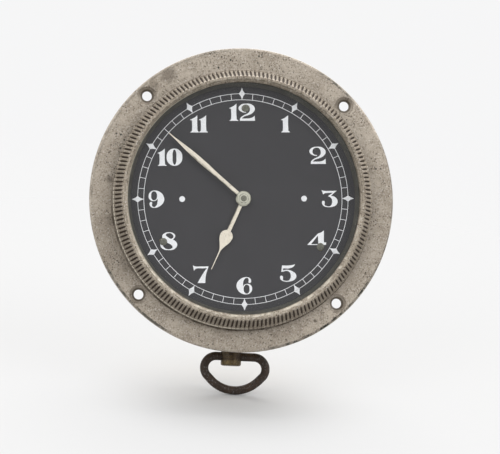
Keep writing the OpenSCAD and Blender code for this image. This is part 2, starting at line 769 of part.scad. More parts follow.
// Wheel and pinion in one, held on the arbor by the clutch spring so that the hands can be set
module centre_wheel() color(brass) at(centre_at) difference() {
  union() {
    wheel(centre_teeth, centre_module, centre_turn, front_in * [1, 1] + centre_wheel_level, centre_arbor_r, 5);
    pinion(centre_pinion, intermediate_module, centre_pinion_turn, front_in * [1, 1] + centre_pinion_level);
    disc(centre_collar_r, front_in + centre_wheel_level[0], front_in + centre_pinion_level[0] + 0.01);
  }
  disc(centre_arbor_r + running, front_in + centre_wheel_level[0] - 1, front_in + centre_pinion_level[1] + 1);
}
module centre_arbor() color(steel) at(centre_at) {
  disc(centre_arbor_r, front_plate_front - 0.1, disc_back);
  disc(hand_arbor_r, arbor_top, front_plate_front);
  disc(centre_collar_r, clutch_front - centre_collar, clutch_front);
  disc(centre_collar_r, front_in + centre_pinion_level[1] + end_shake, back_in - end_shake);
  disc(centre_collar_r, front_in + end_shake, front_in + centre_collar);
}
// Three-armed spring washer between the arbor's collar and the wheel
module clutch_spring() color(blue_steel) at(centre_at) {
  slab(clutch_front, clutch_front + clutch_thick) difference() {
    union() {
      circle(centre_collar_r + 0.1);
      for (i = [0 : 2]) bar([0, 0], polar(2.4, 90 + 120 * i), 0.4);
    }
    circle(centre_arbor_r + fixed);
  }
}
module third_wheel() color(brass) at(third_at)
  wheel(third_teeth, third_module, 0, front_in * [1, 1] + third_wheel_level, body_r + fixed);
module third_arbor() color(steel) at(third_at) {
  arbor();
  pinion(third_pinion, centre_module, third_pinion_turn, front_in * [1, 1] + third_pinion_level);
  disc(1, front_in + third_wheel_level[1], front_in + third_wheel_level[1] + 0.5);
}
module fourth_wheel() color(brass) at(fourth_at)
  wheel(fourth_teeth, fourth_module, 0, front_in * [1, 1] + fourth_wheel_level, body_r + fixed);
module fourth_arbor() color(steel) at(fourth_at) {
  arbor();
  pinion(fourth_pinion, third_module, fourth_pinion_turn, front_in * [1, 1] + fourth_pinion_level);
  disc(1, front_in + fourth_wheel_level[0] - 0.4, front_in + fourth_wheel_level[0]);
}
module escape_wheel() color(brass) at(escape_at) {
  slab(front_in + escape_wheel_level[0], front_in + escape_wheel_level[1]) difference() {
    polygon([for (i = [0 : escape_teeth - 1]) let (a = escape_turn + i * escape_step) each [
      polar(escape_r - 1.1, a - escape_step * 0.1), polar(escape_r, a - 1.1), polar(escape_r, a + 1.1),
      polar(escape_r - 0.7, a + escape_step * 0.16), polar(escape_r - 1.1, a + escape_step * 0.45)]]);
    windows(1.1, escape_r - 1.6, 4, 0.5);
    circle(body_r + fixed);
  }
}
module escape_arbor() color(steel) at(escape_at) {
  arbor();
  pinion(escape_pinion, fourth_module, escape_pinion_turn, front_in * [1, 1] + escape_pinion_level);
  disc(0.8, front_in + escape_wheel_level[1], front_in + escape_wheel_level[1] + 0.4);
}

// Pallet lever: two arms with stones that straddle the escape wheel, and a fork for the impulse pin
pallet_arm = escape_r * tan(30);
pallet_hub_r = 0.62;
fork_reach = lever_centres - 1.2;
module pallet_lever() color(steel) {
  level = [front_in + escape_wheel_level[0], front_in + escape_wheel_level[1]];
  to_escape = heading(pallet_at, escape_at);
  to_balance = heading(pallet_at, balance_at);
  slab(level[0], level[1]) {
    difference() {
      union() {
        translate(pallet_at) circle(pallet_hub_r);
        for (s = [-1, 1]) bar(pallet_at, pallet_at + polar(pallet_arm + 0.75, to_escape + 74 * s), lever_half_w);
        bar(pallet_at, pallet_at + polar(fork_reach - 1, to_balance), lever_half_w);
        translate(pallet_at) rotate(to_balance)
          polygon([[fork_reach - 1.2, -0.35], [fork_reach, -0.85], [fork_reach, 0.85], [fork_reach - 1.2, 0.35]]);
      }
      translate(pallet_at) rotate(to_balance) translate([fork_reach - 0.8, -0.28]) square([2, 0.56]);
      translate(pallet_at) circle(pivot_r);
    }
    for (s = [-1, 1]) pallet_stone(s);
  }
  at(pallet_at) {
    disc(body_r, level[1] - 0.01, back_in - end_shake);
    disc(body_r, front_in + end_shake, level[0] + 0.01);
    disc(pivot_r, front_in - 1.2, back_in + 1.2);
  }
}
// Stone standing on the wheel's radius, just clear of the tooth tips at mid swing
module pallet_stone(s) {
  translate(escape_at) rotate(pallet_way + 30 * s) translate([escape_r + 0.1, -0.2]) square([1.2, 0.4]);
}

module balance_wheel() color(brass) at(balance_at) {
  rim_out = balance_r - 0.5;
  slab(front_in + balance_level[0], front_in + balance_level[1]) difference() {
    circle(rim_out);
    windows(1.2, rim_out - 0.8, 2, 1);
    circle(body_r + fixed);
  }
  for (i = [0 : 11]) rotate([0, 15 + 30 * i, 0])
    translate([rim_out - 0.1, front_in + (balance_level[0] + balance_level[1]) / 2, 0])
      rotate([0, 90, 0]) cylinder(h = 0.6, r = 0.3);
}
module balance_staff() color(steel) at(balance_at) {
  rear = back_out + cock_thick;
  disc(body_r, front_in + end_shake, back_out - 0.1);
  disc(staff_pivot_r, front_in - 0.8, rear - 0.2);
  disc(0.9, front_in + spring_level[0] - 0.1, front_in + spring_level[1] + 0.1);
  disc(1, front_in + balance_level[0] - 0.3, front_in + balance_level[0]);
  disc(1.9, front_in + roller_level[0], front_in + roller_level[1]);
  at(polar(1.5, heading(balance_at, pallet_at)))
    disc(0.2, front_in + escape_wheel_level[1] + 0.06, front_in + roller_level[0] + 0.01);
}
module hairspring() color(blue_steel) at(balance_at) {
  slab(front_in + spring_level[0], front_in + spring_level[1]) rotate(stud_way)
    spiral_ribbon(hairspring_inner_r, hairspring_r, hairspring_turns, 0.12);
  at(polar(hairspring_r, stud_way)) disc(0.35, front_in + spring_level[0], back_out + 0.3);
}
module balance_cock() color(brass) {
  foot_r = 3.4;
  difference() {
    union() {
      slab(back_out, back_out + cock_thick) {
        bar(balance_at, foot_at, cock_r - 0.4);
        translate(balance_at) circle(cock_r);
        translate(foot_at) circle(foot_r);
        bar(balance_at, balance_at + polar(hairspring_r, stud_way), 0.9);
      }
      at(balance_at) disc(regulator_boss_r, back_out + cock_thick - 0.01, back_out + cock_thick + regulator_thick + 0.1);
    }
    at(balance_at) disc(staff_pivot_r + running, back_out - 1, back_out + cock_thick + 1);
    at(balance_at + polar(hairspring_r, stud_way)) disc(0.35 + fixed, back_out - 1, back_out + cock_thick + 1);
    at(foot_at) disc(cock_screw_r + 0.1, back_out - 1, back_out + cock_thick + 1);
  }
}
module regulator() color(steel) at(balance_at) {
  near = back_out + cock_thick + end_shake;
  difference() {
    slab(near, near + regulator_thick) {
      circle(regulator_r);
      bar([0, 0], polar(curb_r, curb_way), 0.6);
      rotate(cock_way) polygon([[0, -0.6], [8, -0.15], [8.6, 0], [8, 0.15], [0, 0.6]]);
    }
    disc(regulator_boss_r + running, near - 1, near + 2);
  }
  for (s = [-1, 1]) at(polar(curb_r + s * coil_pitch / 2, curb_way))
    disc(curb_pin_r, front_in + spring_level[0], near + 0.01);
}

// Motion work

module cannon_pinion() color(steel) at(centre_at) {
  difference() {
    union() {
      pinion(cannon_teeth, motion_module, 0, cannon_level);
      disc(cannon_r, cannon_top, cannon_level[0] + 0.01);
    }
    disc(hand_arbor_r + fixed, cannon_top - 1, 0);
  }
}
module minute_wheel() color(brass) at(minute_at) {
  difference() {
    union() {
      wheel(minute_teeth, motion_module, minute_turn, minute_level, stud_r + running);
      pinion(minute_pinion, hour_module, 0, [hour_level[0] - 0.2, minute_level[0] + 0.01]);
    }
    disc(stud_r + running, hour_level[0] - 1, 0);
  }
}
module minute_wheel_stud() color(steel) at(minute_at) {
  disc(stud_r, hour_level[0] - 0.3, front_in);
  disc(stud_r + 0.35, stud_top, hour_level[0] - 0.25);
  disc(1.1, minute_level[1] + 0.05, front_plate_front);
}
module hour_wheel() color(brass) at(centre_at) {
  difference() {
    union() {
      wheel(hour_teeth, hour_module, hour_turn, hour_level, cannon_r + running);
      disc(hour_pipe_r, hour_hand_level - 0.4, hour_level[0] + 0.01);
    }
    disc(cannon_r + running, hour_hand_level - 1, 0);
  }
}

// Winding and setting work

module crown_wheel() color(steel) at(crown_at) {
  difference() {
    union() {
      pinion(crown_teeth, winding_module, crown_turn, [disc_front, disc_back]);
      contrate_teeth(crown_ring_teeth, crown_ring, -90 + 180 / crown_ring_teeth);
    }
    disc(1.5, disc_front - 1, disc_back + 1);
  }
}
module crown_wheel_stud() color(blue_steel) at(crown_at) {
  disc(1.5 - running, back_out, disc_back + end_shake + 0.01);
  rear_screw(2.6, disc_back + end_shake, 0.7, 0.9, back_in + 0.2);
}
module setting_wheel() color(steel) at(centre_at) {
  difference() {
    union() {
      disc(setting_ring[1] + 0.3, disc_front, disc_back);
      contrate_teeth(setting_teeth, setting_ring, -90 + 180 / setting_teeth);
    }
    disc(centre_arbor_r + fixed, disc_front - 1, disc_back + 1);
  }
}
module winding_stem() color(steel) translate([0, stem_depth, 0]) {
  translate([0, 0, boss_top - boss_socket]) cylinder(h = setting_pinion_top - 0.2 + boss_socket - boss_top, r = stem_r);
  translate([0, 0, collar[0]]) cylinder(h = collar[1] - collar[0], r = collar_r);
}
module stem_pinions() color(steel) {
  for (low = [setting_pinion_top - pinion_height, winding_pinion_low]) translate([0, stem_depth, low])
    linear_extrude(pinion_height) difference() {
      polygon([for (i = [0 : pinion_teeth - 1])
        each tooth(i * 360 / pinion_teeth, 360 / pinion_teeth, pinion_root_r, pinion_tip_r)]);
      circle(stem_r + fixed);
    }
}
// Pillow block for the stem, with a foot on one side or on both
module stem_cock(levels, left, right) {
  height = stem_depth - back_out;
  screw_at = (levels[0] + levels[1]) / 2;
  difference() {
    translate([0, 0, levels[0]]) linear_extrude(levels[1] - levels[0]) {
      translate([-cock_block_r, back_out]) square([2 * cock_block_r, height]);
      translate([0, stem_depth]) circle(cock_block_r);
      translate([-left, back_out]) square([left + right, cock_foot]);
    }
    translate([0, stem_depth, levels[0] - 1]) cylinder(h = levels[1] - levels[0] + 2, r = stem_r + running);
    for (x = [-left + 2.2, right - 2.2]) if (abs(x) > cock_block_r) at([x, screw_at])
      disc(cock_screw_r + 0.1, back_out - 1, back_out + cock_foot + 1);
  }
}
upper_foot = 8;
lower_foot = 8;
cock_screw_places = [
  [[upper_foot - 2.2, (upper_cock[0] + upper_cock[1]) / 2], cock_foot],
  [[lower_foot - 2.2, (lower_cock[0] + lower_cock[1]) / 2], cock_foot],
  [[2.2 - lower_foot, (lower_cock[0] + lower_cock[1]) / 2], cock_foot],
  [foot_at, cock_thick]];
module upper_stem_cock() color(brass) stem_cock(upper_cock, cock_block_r, upper_foot);
module lower_stem_cock() color(brass) stem_cock(lower_cock, lower_foot, lower_foot);
module cock_screws() color(blue_steel) {
  for (p = cock_screw_places) at(p[0]) rear_screw(cock_head_r, back_out + p[1], cock_head, cock_screw_r, back_in + 0.2);
}
module thrust_washer() color(brass) translate([0, stem_depth, washer[0]]) difference() {
  cylinder(h = washer[1] - washer[0], r = washer_r);
  translate([0, 0, -1]) cylinder(h = 3, r = stem_r + running);
}
spring_wire = 0.16;
spring_coil_r = 1.55;
spring_turns = 5;
// Compression spring between the thrust washer and the bush, with its end coils closed
module stem_spring() color(blue_steel) translate([0, stem_depth, 0]) {
  low = bush_inner + spring_wire + 0.03;
  high = washer[0] - spring_wire - 0.03;
  steps = spring_turns * 12;
  rings = [for (i = [0 : steps]) let (a = i * 30, z = low + (high - low) * i / steps)
    [for (k = [0 : 5]) let (q = k * 60)
      [(spring_coil_r + spring_wire * cos(q)) * cos(a), (spring_coil_r + spring_wire * cos(q)) * sin(a),
        z + spring_wire * sin(q)]]];
  polyhedron(points = [for (r = rings) each r],
    faces = concat([[for (k = [0 : 5]) k]], [[for (k = [5 : -1 : 0]) steps * 6 + k]],
      [for (i = [0 : steps - 1], k = [0 : 5]) each [
        [i * 6 + k, (i + 1) * 6 + k, i * 6 + (k + 1) % 6],
        [i * 6 + (k + 1) % 6, (i + 1) * 6 + k, (i + 1) * 6 + (k + 1) % 6]]]));
}
module stem_bush() color(olive_brass) translate([0, stem_depth, 0]) difference() {
  union() {
    translate([0, 0, bush_end]) cylinder(h = bush_inner - bush_end, r = bush_r);
    translate([0, 0, -case_r - bush_flange]) cylinder(h = bush_flange, r = bush_flange_r);
  }
  translate([0, 0, bush_end - 1]) cylinder(h = bush_inner - bush_end + 2, r = stem_r + running);
}

// Ring pull

module handle_boss() color(olive_brass) difference() {
  edge = 0.7;
  translate([0, stem_depth, 0]) rotate_extrude() polygon(concat(
    [[0, boss_bottom]],
    [for (a = [0 : 15 : 90]) [boss_r - edge + edge * sin(a), boss_bottom + edge - edge * cos(a)]],
    [[boss_r, boss_top + 0.3], [boss_r - 0.3, boss_top], [0, boss_top]]));
  translate([0, stem_depth, boss_top - boss_socket - 0.1]) cylinder(h = boss_socket + 1, r = stem_r + fixed);
  translate([-boss_r - 1, stem_depth, loop_z]) rotate([0, 90, 0]) cylinder(h = 2 * boss_r + 2, r = wire_r + 2 * running);
}
// Centre line of the loop: straight bar, two shoulders, two short flanks at 45 degrees and a round bottom
function loop_path() = let (
    bar_half = loop_half_w - shoulder_r,
    shoulder_end = [bar_half, -shoulder_r] + polar(shoulder_r, -45),
    bottom_r = (shoulder_end[0] - shoulder_end[1] - loop_height) / (sqrt(2) - 1),
    bottom_mid = [0, bottom_r - loop_height],
    half = concat(
      [for (a = [90 : -9 : -45]) [bar_half, -shoulder_r] + polar(shoulder_r, a)],
      [for (a = [-45 : -7.5 : -90]) bottom_mid + polar(bottom_r, a)]))
  concat(half, [for (i = [len(half) - 2 : -1 : 0]) [-half[i][0], half[i][1]]]);
loop_sides = 14;
// Wire swept along the centre line, with a mitred ring of points at each of its corners
module handle_loop() color(bronze) translate([loop_shift, stem_depth, loop_z]) rotate([90, 0, 0]) {
  path = loop_path();
  n = len(path);
  rings = [for (i = [0 : n - 1]) let (
      before = path[(i + n - 1) % n], after = path[(i + 1) % n],
      way_in = heading(before, path[i]), way_out = heading(path[i], after),
      bend = ((way_out - way_in + 540) % 360) - 180,
      aside = way_in + bend / 2 + 90, stretch = 1 / cos(bend / 2))
    [for (k = [0 : loop_sides - 1]) let (q = k * 360 / loop_sides)
      [each (path[i] + polar(wire_r * cos(q) * stretch, aside)), wire_r * sin(q)]]];
  polyhedron(points = [for (r = rings) each r],
    faces = [for (i = [0 : n - 1], k = [0 : loop_sides - 1]) let (j = (i + 1) % n, m = (k + 1) % loop_sides) each [
      [i * loop_sides + k, j * loop_sides + k, i * loop_sides + m],
      [i * loop_sides + m, j * loop_sides + k, j * loop_sides + m]]]);
}

mounting_flange();
case_shell();
back_cover();
back_cover_screws();
bezel();
glass();
spacer_ring();
dial();
dial_screws();
dial_posts();
hour_hand();
minute_hand();
front_plate();
back_plate();
pillars();
plate_screws();
barrel();
barrel_cover();
barrel_arbor();
mainspring();
ratchet_wheel();
ratchet_screw();
click();
click_spring();
click_screw();
intermediate_wheel();
intermediate_arbor();
centre_wheel();
clutch_spring();
centre_arbor();
third_wheel();
third_arbor();
fourth_wheel();
fourth_arbor();
escape_wheel();
escape_arbor();
pallet_lever();
balance_wheel();
balance_staff();
hairspring();
balance_cock();
regulator();
cannon_pinion();
minute_wheel();
minute_wheel_stud();
hour_wheel();
crown_wheel();
crown_wheel_stud();
winding_stem();
stem_pinions();
setting_wheel();
upper_stem_cock();
lower_stem_cock();
cock_screws();
thrust_washer();
stem_spring();
stem_bush();
handle_boss();
handle_loop();
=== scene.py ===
import json
import math

import bmesh
import bpy
from mathutils import Matrix, Vector


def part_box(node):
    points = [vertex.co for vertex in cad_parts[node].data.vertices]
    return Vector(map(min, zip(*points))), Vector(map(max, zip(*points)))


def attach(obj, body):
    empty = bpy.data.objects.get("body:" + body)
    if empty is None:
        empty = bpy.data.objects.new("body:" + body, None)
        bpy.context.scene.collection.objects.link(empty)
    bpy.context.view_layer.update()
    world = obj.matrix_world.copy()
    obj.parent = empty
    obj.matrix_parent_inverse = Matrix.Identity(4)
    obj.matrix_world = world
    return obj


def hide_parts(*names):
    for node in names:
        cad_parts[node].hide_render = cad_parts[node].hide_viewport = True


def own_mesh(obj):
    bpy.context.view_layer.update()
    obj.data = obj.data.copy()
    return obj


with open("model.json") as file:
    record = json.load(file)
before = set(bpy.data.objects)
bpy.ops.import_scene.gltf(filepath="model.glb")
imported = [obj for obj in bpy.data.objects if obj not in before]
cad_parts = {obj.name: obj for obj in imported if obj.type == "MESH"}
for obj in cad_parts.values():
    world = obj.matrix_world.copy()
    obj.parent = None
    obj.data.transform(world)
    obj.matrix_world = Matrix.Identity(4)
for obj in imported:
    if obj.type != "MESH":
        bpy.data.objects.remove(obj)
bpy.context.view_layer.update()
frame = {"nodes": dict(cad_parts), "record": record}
nodes = frame["nodes"]
mm = 0.001
print("frame loaded,", len(nodes), "nodes")


# Camera

photo = {
    "width": 500,
    "height": 454,
    "originX": 241.6,  # where the axis of the clock lies in the picture, in pixels
    "originY": 200.1,
    "flangeRadius": 152.5,
    "azimuth": -5.8,
    "elevation": -4.9,
    "roll": 2.3,  # the clock hangs this far clockwise
    "distance": 1000,
    "clip": (0.01, 50),  # in metres
}


def makeCamera():
    turn = math.radians(photo["azimuth"])
    rise = math.radians(photo["elevation"])
    roll = math.radians(photo["roll"])
    back = Vector((math.sin(turn) * math.cos(rise), -math.cos(turn) * math.cos(rise), math.sin(rise)))
    level = Vector((math.cos(turn), math.sin(turn), 0))
    upright = back.cross(level)
    right = level * math.cos(roll) + upright * math.sin(roll)
    up = upright * math.cos(roll) - level * math.sin(roll)
    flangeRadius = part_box("mounting_flange")[1].x
    perPixel = flangeRadius / photo["flangeRadius"]
    aside = photo["width"] / 2 - photo["originX"]
    below = photo["height"] / 2 - photo["originY"]
    target = (right * aside - up * below) * perPixel
    place = back * photo["distance"] * mm
    toward = (target - place).normalized()
    right = toward.cross(up).normalized()
    up = right.cross(toward)
    data = bpy.data.cameras.new("camera")
    data.sensor_fit = "HORIZONTAL"
    data.angle = 2 * math.atan(photo["width"] / 2 * perPixel / (photo["distance"] * mm))
    data.clip_start, data.clip_end = photo["clip"]
    camera = bpy.data.objects.new("camera", data)
    axes = Matrix((right, up, -toward)).transposed()
    camera.matrix_world = Matrix.Translation(place) @ axes.to_4x4()
    bpy.context.scene.collection.objects.link(camera)
    bpy.context.scene.camera = camera


makeCamera()
bpy.context.scene.view_settings.view_transform = "Standard"
print("camera placed")


# Node helpers

def addNode(tree, kind, inputs=None, **settings):
    node = tree.nodes.new(kind)
    for name, value in settings.items():
        setattr(node, name, value)
    for name, value in (inputs or {}).items():
        if isinstance(value, bpy.types.NodeSocket):
            tree.links.new(value, node.inputs[name])
        else:
            node.inputs[name].default_value = value
    return node


def compute(tree, operation, *values):
    return addNode(tree, "ShaderNodeMath", dict(enumerate(values)), operation=operation).outputs[0]


def product(tree, total, *others):
    for value in others:
        total = compute(tree, "MULTIPLY", total, value)
    return total


def largest(tree, total, *others):
    for value in others:
        total = compute(tree, "MAXIMUM", total, value)
    return total


def measure(tree, operation, *vectors):  # a number worked out from vectors
    node = addNode(tree, "ShaderNodeVectorMath", dict(enumerate(vectors)), operation=operation)
    return node.outputs["Value"]


def scaleVector(tree, vector, factor):
    return addNode(tree, "ShaderNodeVectorMath", {0: vector, "Scale": factor}, operation="SCALE").outputs[0]


def axesOf(tree, vector):
    return addNode(tree, "ShaderNodeSeparateXYZ", {0: vector}).outputs


def joinAxes(tree, x=0.0, y=0.0, z=0.0):
    return addNode(tree, "ShaderNodeCombineXYZ", {0: x, 1: y, 2: z}).outputs[0]


def blendColour(tree, factor, first, second):
    return addNode(tree, "ShaderNodeMix", {0: factor, 6: first, 7: second}, data_type="RGBA").outputs[2]


def softStep(tree, value, low, high, start=0.0, end=1.0):
    inputs = {"Value": value, "From Min": low, "From Max": high, "To Min": start, "To Max": end}
    return addNode(tree, "ShaderNodeMapRange", inputs, interpolation_type="SMOOTHSTEP").outputs[0]


def newTree(name, kind, inputs, outputs):
    tree = bpy.data.node_groups.new(name, kind)
    for socketName, socketKind, *value in inputs:
        socket = tree.interface.new_socket(socketName, in_out="INPUT", socket_type="NodeSocket" + socketKind)
        if value:
            socket.default_value = value[0]
    for socketName, socketKind in outputs:
        tree.interface.new_socket(socketName, in_out="OUTPUT", socket_type="NodeSocket" + socketKind)
    return tree, addNode(tree, "NodeGroupInput").outputs, addNode(tree, "NodeGroupOutput").inputs


def rgba(colour):
    return (*colour, 1.0)


def fromScreen(red, green, blue):  # a colour as a screen shows it, made linear
    return tuple(((c / 255 + 0.055) / 1.055) ** 2.4 if c > 10 else c / 3295 for c in (red, green, blue))


# Shader groups shared by the materials; they take metres in and have their sizes in millimetres

groups = {}
cloudForm = {"detail": 5.0, "roughness": 0.62, "distortion": 0.4}
pitForm = {
    "wobble": 0.35, "wobbleScale": 3.0, "wobbleDetail": 2.0,
    "smallest": 0.25, "core": 0.5,  # the least size of a dot, and the share of it that is fully dark
    "crowdScale": 0.13, "crowdDetail": 3.0, "crowdEdge": 0.75, "crowdSoft": 0.12, "coverShare": 0.5,
}
blotForm = {"rippleScale": 0.55, "rippleDetail": 4.0, "core": 0.3}
metalForm = {
    "cloudSoft": 0.26, "cloudShare": 0.55, "patchSoft": 0.22, "patchShare": 0.45, "patchGrain": 0.2,
    "gritSoft": 0.24, "gritHeight": 0.35, "pitSpacing": 2.6,
    "pepperLow": (0.25, 1.1), "pepperHigh": (0.8, 0.4),  # a level of the patches, and the pepper there
    "dark": (0.38, 0.02), "light": (0.62, 0.95), "shine": 0.35,
}


def useGroup(tree, name, vector, inputs=None):
    return addNode(tree, "ShaderNodeGroup", {"Vector": vector, **(inputs or {})}, node_tree=groups[name])


def makeMottle():  # clouds
    tree, given, out = newTree("mottle", "ShaderNodeTree", [
        ("Vector", "Vector"), ("Grain", "Float", 1.0), ("Softness", "Float", 0.2)], [("Value", "Float")])
    f = cloudForm
    clouds = addNode(tree, "ShaderNodeTexNoise", {
        "Vector": scaleVector(tree, given["Vector"], 1 / mm),
        "Scale": compute(tree, "DIVIDE", 1.0, given["Grain"]),
        "Detail": f["detail"], "Roughness": f["roughness"], "Distortion": f["distortion"]})
    low = compute(tree, "SUBTRACT", 0.5, given["Softness"])
    high = compute(tree, "ADD", 0.5, given["Softness"])
    tree.links.new(softStep(tree, clouds.outputs[0], low, high), out["Value"])
    return tree


def makePits():  # dots of many sizes, which lie in crowds
    tree, given, out = newTree("pits", "ShaderNodeTree", [
        ("Vector", "Vector"), ("Spacing", "Float", 1.0), ("Size", "Float", 0.2), ("Cover", "Float", 0.5),
    ], [("Mask", "Float")])
    f = pitForm
    place = scaleVector(tree, given["Vector"], 1 / mm)
    wobble = addNode(tree, "ShaderNodeTexNoise", {
        "Vector": place, "Scale": f["wobbleScale"], "Detail": f["wobbleDetail"]})
    moved = addNode(tree, "ShaderNodeVectorMath", {
        0: wobble.outputs["Color"], 1: (f["wobble"],) * 3, 2: place}, operation="MULTIPLY_ADD")
    cells = addNode(tree, "ShaderNodeTexVoronoi", {
        "Vector": moved.outputs[0], "Scale": compute(tree, "DIVIDE", 1.0, given["Spacing"]),
        "Randomness": 1.0})
    chance = addNode(tree, "ShaderNodeSeparateColor", {"Color": cells.outputs["Color"]}).outputs[0]
    reach = compute(tree, "DIVIDE", given["Size"], given["Spacing"])
    ownReach = product(tree, reach, compute(tree, "ADD", chance, f["smallest"]))
    dots = softStep(tree, cells.outputs["Distance"], product(tree, ownReach, f["core"]), ownReach, 1.0, 0.0)
    crowd = addNode(tree, "ShaderNodeTexNoise", {
        "Vector": place, "Scale": f["crowdScale"], "Detail": f["crowdDetail"]})
    edge = compute(tree, "SUBTRACT", f["crowdEdge"], product(tree, given["Cover"], f["coverShare"]))
    low = compute(tree, "SUBTRACT", edge, f["crowdSoft"])
    high = compute(tree, "ADD", edge, f["crowdSoft"])
    tree.links.new(product(tree, dots, softStep(tree, crowd.outputs[0], low, high)), out["Mask"])
    return tree


def makeRingMask():  # a ring about the clock's axis
    tree, given, out = newTree("ringMask", "ShaderNodeTree", [
        ("Vector", "Vector"), ("Radius", "Float", 10.0), ("Width", "Float", 1.0), ("Soft", "Float", 0.5),
    ], [("Inside", "Float"), ("Distance", "Float")])
    axes = axesOf(tree, given["Vector"])
    distance = compute(tree, "DIVIDE", measure(tree, "LENGTH", joinAxes(tree, axes[0], axes[2])), mm)
    away = compute(tree, "ABSOLUTE", compute(tree, "SUBTRACT", distance, given["Radius"]))
    outer = compute(tree, "ADD", given["Width"], given["Soft"])
    tree.links.new(softStep(tree, away, given["Width"], outer, 1.0, 0.0), out["Inside"])
    tree.links.new(distance, out["Distance"])
    return tree


def makeHoleMask():  # a disc round each of the four panel holes
    tree, given, out = newTree("holeMask", "ShaderNodeTree", [
        ("Vector", "Vector"), ("Circle", "Float", 46.0), ("Radius", "Float", 3.0), ("Soft", "Float", 0.3),
    ], [("Mask", "Float")])
    axes = axesOf(tree, given["Vector"])
    corner = product(tree, given["Circle"], mm * math.sqrt(0.5))
    aside = compute(tree, "SUBTRACT", compute(tree, "ABSOLUTE", axes[0]), corner)
    above = compute(tree, "SUBTRACT", compute(tree, "ABSOLUTE", axes[2]), corner)
    away = compute(tree, "DIVIDE", measure(tree, "LENGTH", joinAxes(tree, aside, above)), mm)
    outer = compute(tree, "ADD", given["Radius"], given["Soft"])
    tree.links.new(softStep(tree, away, given["Radius"], outer, 1.0, 0.0), out["Mask"])
    return tree


def makeBlot():  # a soft patch round one place on the face
    tree, given, out = newTree("blot", "ShaderNodeTree", [
        ("Vector", "Vector"), ("Across", "Float", 0.0), ("Up", "Float", 0.0), ("Reach", "Float", 3.0),
        ("Ragged", "Float", 1.0),
    ], [("Mask", "Float")])
    place = scaleVector(tree, given["Vector"], 1 / mm)
    axes = axesOf(tree, place)
    aside = compute(tree, "SUBTRACT", axes[0], given["Across"])
    above = compute(tree, "SUBTRACT", axes[2], given["Up"])
    away = measure(tree, "LENGTH", joinAxes(tree, aside, above))
    ripple = addNode(tree, "ShaderNodeTexNoise", {
        "Vector": place, "Scale": blotForm["rippleScale"], "Detail": blotForm["rippleDetail"]})
    uneven = product(tree, compute(tree, "SUBTRACT", ripple.outputs[0], 0.5), given["Ragged"])
    share = compute(tree, "ADD", compute(tree, "DIVIDE", away, given["Reach"]), uneven)
    tree.links.new(softStep(tree, share, blotForm["core"], 1.0, 1.0, 0.0), out["Mask"])
    return tree


def makeArcMask():  # part of a ring, round an angle counted from three o'clock
    tree, given, out = newTree("arcMask", "ShaderNodeTree", [
        ("Vector", "Vector"), ("Radius", "Float", 40.0), ("Width", "Float", 0.3), ("Soft", "Float", 0.3),
        ("Angle", "Float", 0.0), ("Half Angle", "Float", 20.0), ("Fade", "Float", 8.0),
    ], [("Mask", "Float")])
    ring = useGroup(tree, "ringMask", given["Vector"], {
        "Radius": given["Radius"], "Width": given["Width"], "Soft": given["Soft"]})
    axes = axesOf(tree, given["Vector"])
    angle = compute(tree, "DEGREES", compute(tree, "ARCTAN2", axes[2], axes[0]))
    turned = compute(tree, "WRAP", compute(tree, "SUBTRACT", angle, given["Angle"]), 180.0, -180.0)
    outer = compute(tree, "ADD", given["Half Angle"], given["Fade"])
    window = softStep(tree, compute(tree, "ABSOLUTE", turned), given["Half Angle"], outer, 1.0, 0.0)
    tree.links.new(product(tree, ring.outputs["Inside"], window), out["Mask"])
    return tree


def makeAgedMetal():
    tree, given, out = newTree("agedMetal", "ShaderNodeTree", [
        ("Vector", "Vector"), ("Pale", "Color"), ("Deep", "Color"), ("Pit Colour", "Color"),
        ("Grain", "Float", 4.0), ("Pepper", "Float", 0.5), ("Pepper Size", "Float", 0.4),
        ("Pit Size", "Float", 0.3), ("Cover", "Float", 0.5),
        ("Smooth", "Float", 0.35), ("Rough", "Float", 0.6),
    ], [("Color", "Color"), ("Roughness", "Float"), ("Height", "Float")])
    f = metalForm
    vector = given["Vector"]

    def mottle(grain, softness):
        return useGroup(tree, "mottle", vector, {"Grain": grain, "Softness": softness}).outputs[0]

    clouds = mottle(given["Grain"], f["cloudSoft"])
    patches = mottle(product(tree, given["Grain"], f["patchGrain"]), f["patchSoft"])
    grit = mottle(given["Pepper Size"], f["gritSoft"])
    spacing = product(tree, given["Pit Size"], f["pitSpacing"])
    pits = useGroup(tree, "pits", vector, {
        "Size": given["Pit Size"], "Cover": given["Cover"], "Spacing": spacing}).outputs[0]
    both = compute(tree, "MULTIPLY_ADD", clouds, f["cloudShare"], product(tree, patches, f["patchShare"]))
    tone = blendColour(tree, both, given["Deep"], given["Pale"])
    low, most = f["pepperLow"]
    high, least = f["pepperHigh"]
    amount = product(tree, given["Pepper"], softStep(tree, patches, low, high, most, least))
    dark = product(tree, softStep(tree, grit, *f["dark"]), amount)
    light = product(tree, softStep(tree, grit, *f["light"]), amount)
    peppered = blendColour(tree, dark, tone, given["Pit Colour"])
    bright = blendColour(tree, f["shine"], given["Pale"], rgba((1, 1, 1)))
    salted = blendColour(tree, light, peppered, bright)
    tree.links.new(blendColour(tree, pits, salted, given["Pit Colour"]), out["Color"])
    span = compute(tree, "SUBTRACT", given["Rough"], given["Smooth"])
    tree.links.new(compute(tree, "MULTIPLY_ADD", patches, span, given["Smooth"]), out["Roughness"])
    tree.links.new(compute(tree, "SUBTRACT", product(tree, grit, f["gritHeight"]), pits), out["Height"])
    return tree


groups["mottle"] = makeMottle()
groups["pits"] = makePits()
groups["ringMask"] = makeRingMask()
groups["holeMask"] = makeHoleMask()
groups["blot"] = makeBlot()
groups["arcMask"] = makeArcMask()
groups["agedMetal"] = makeAgedMetal()
print("shader groups made")


# Materials

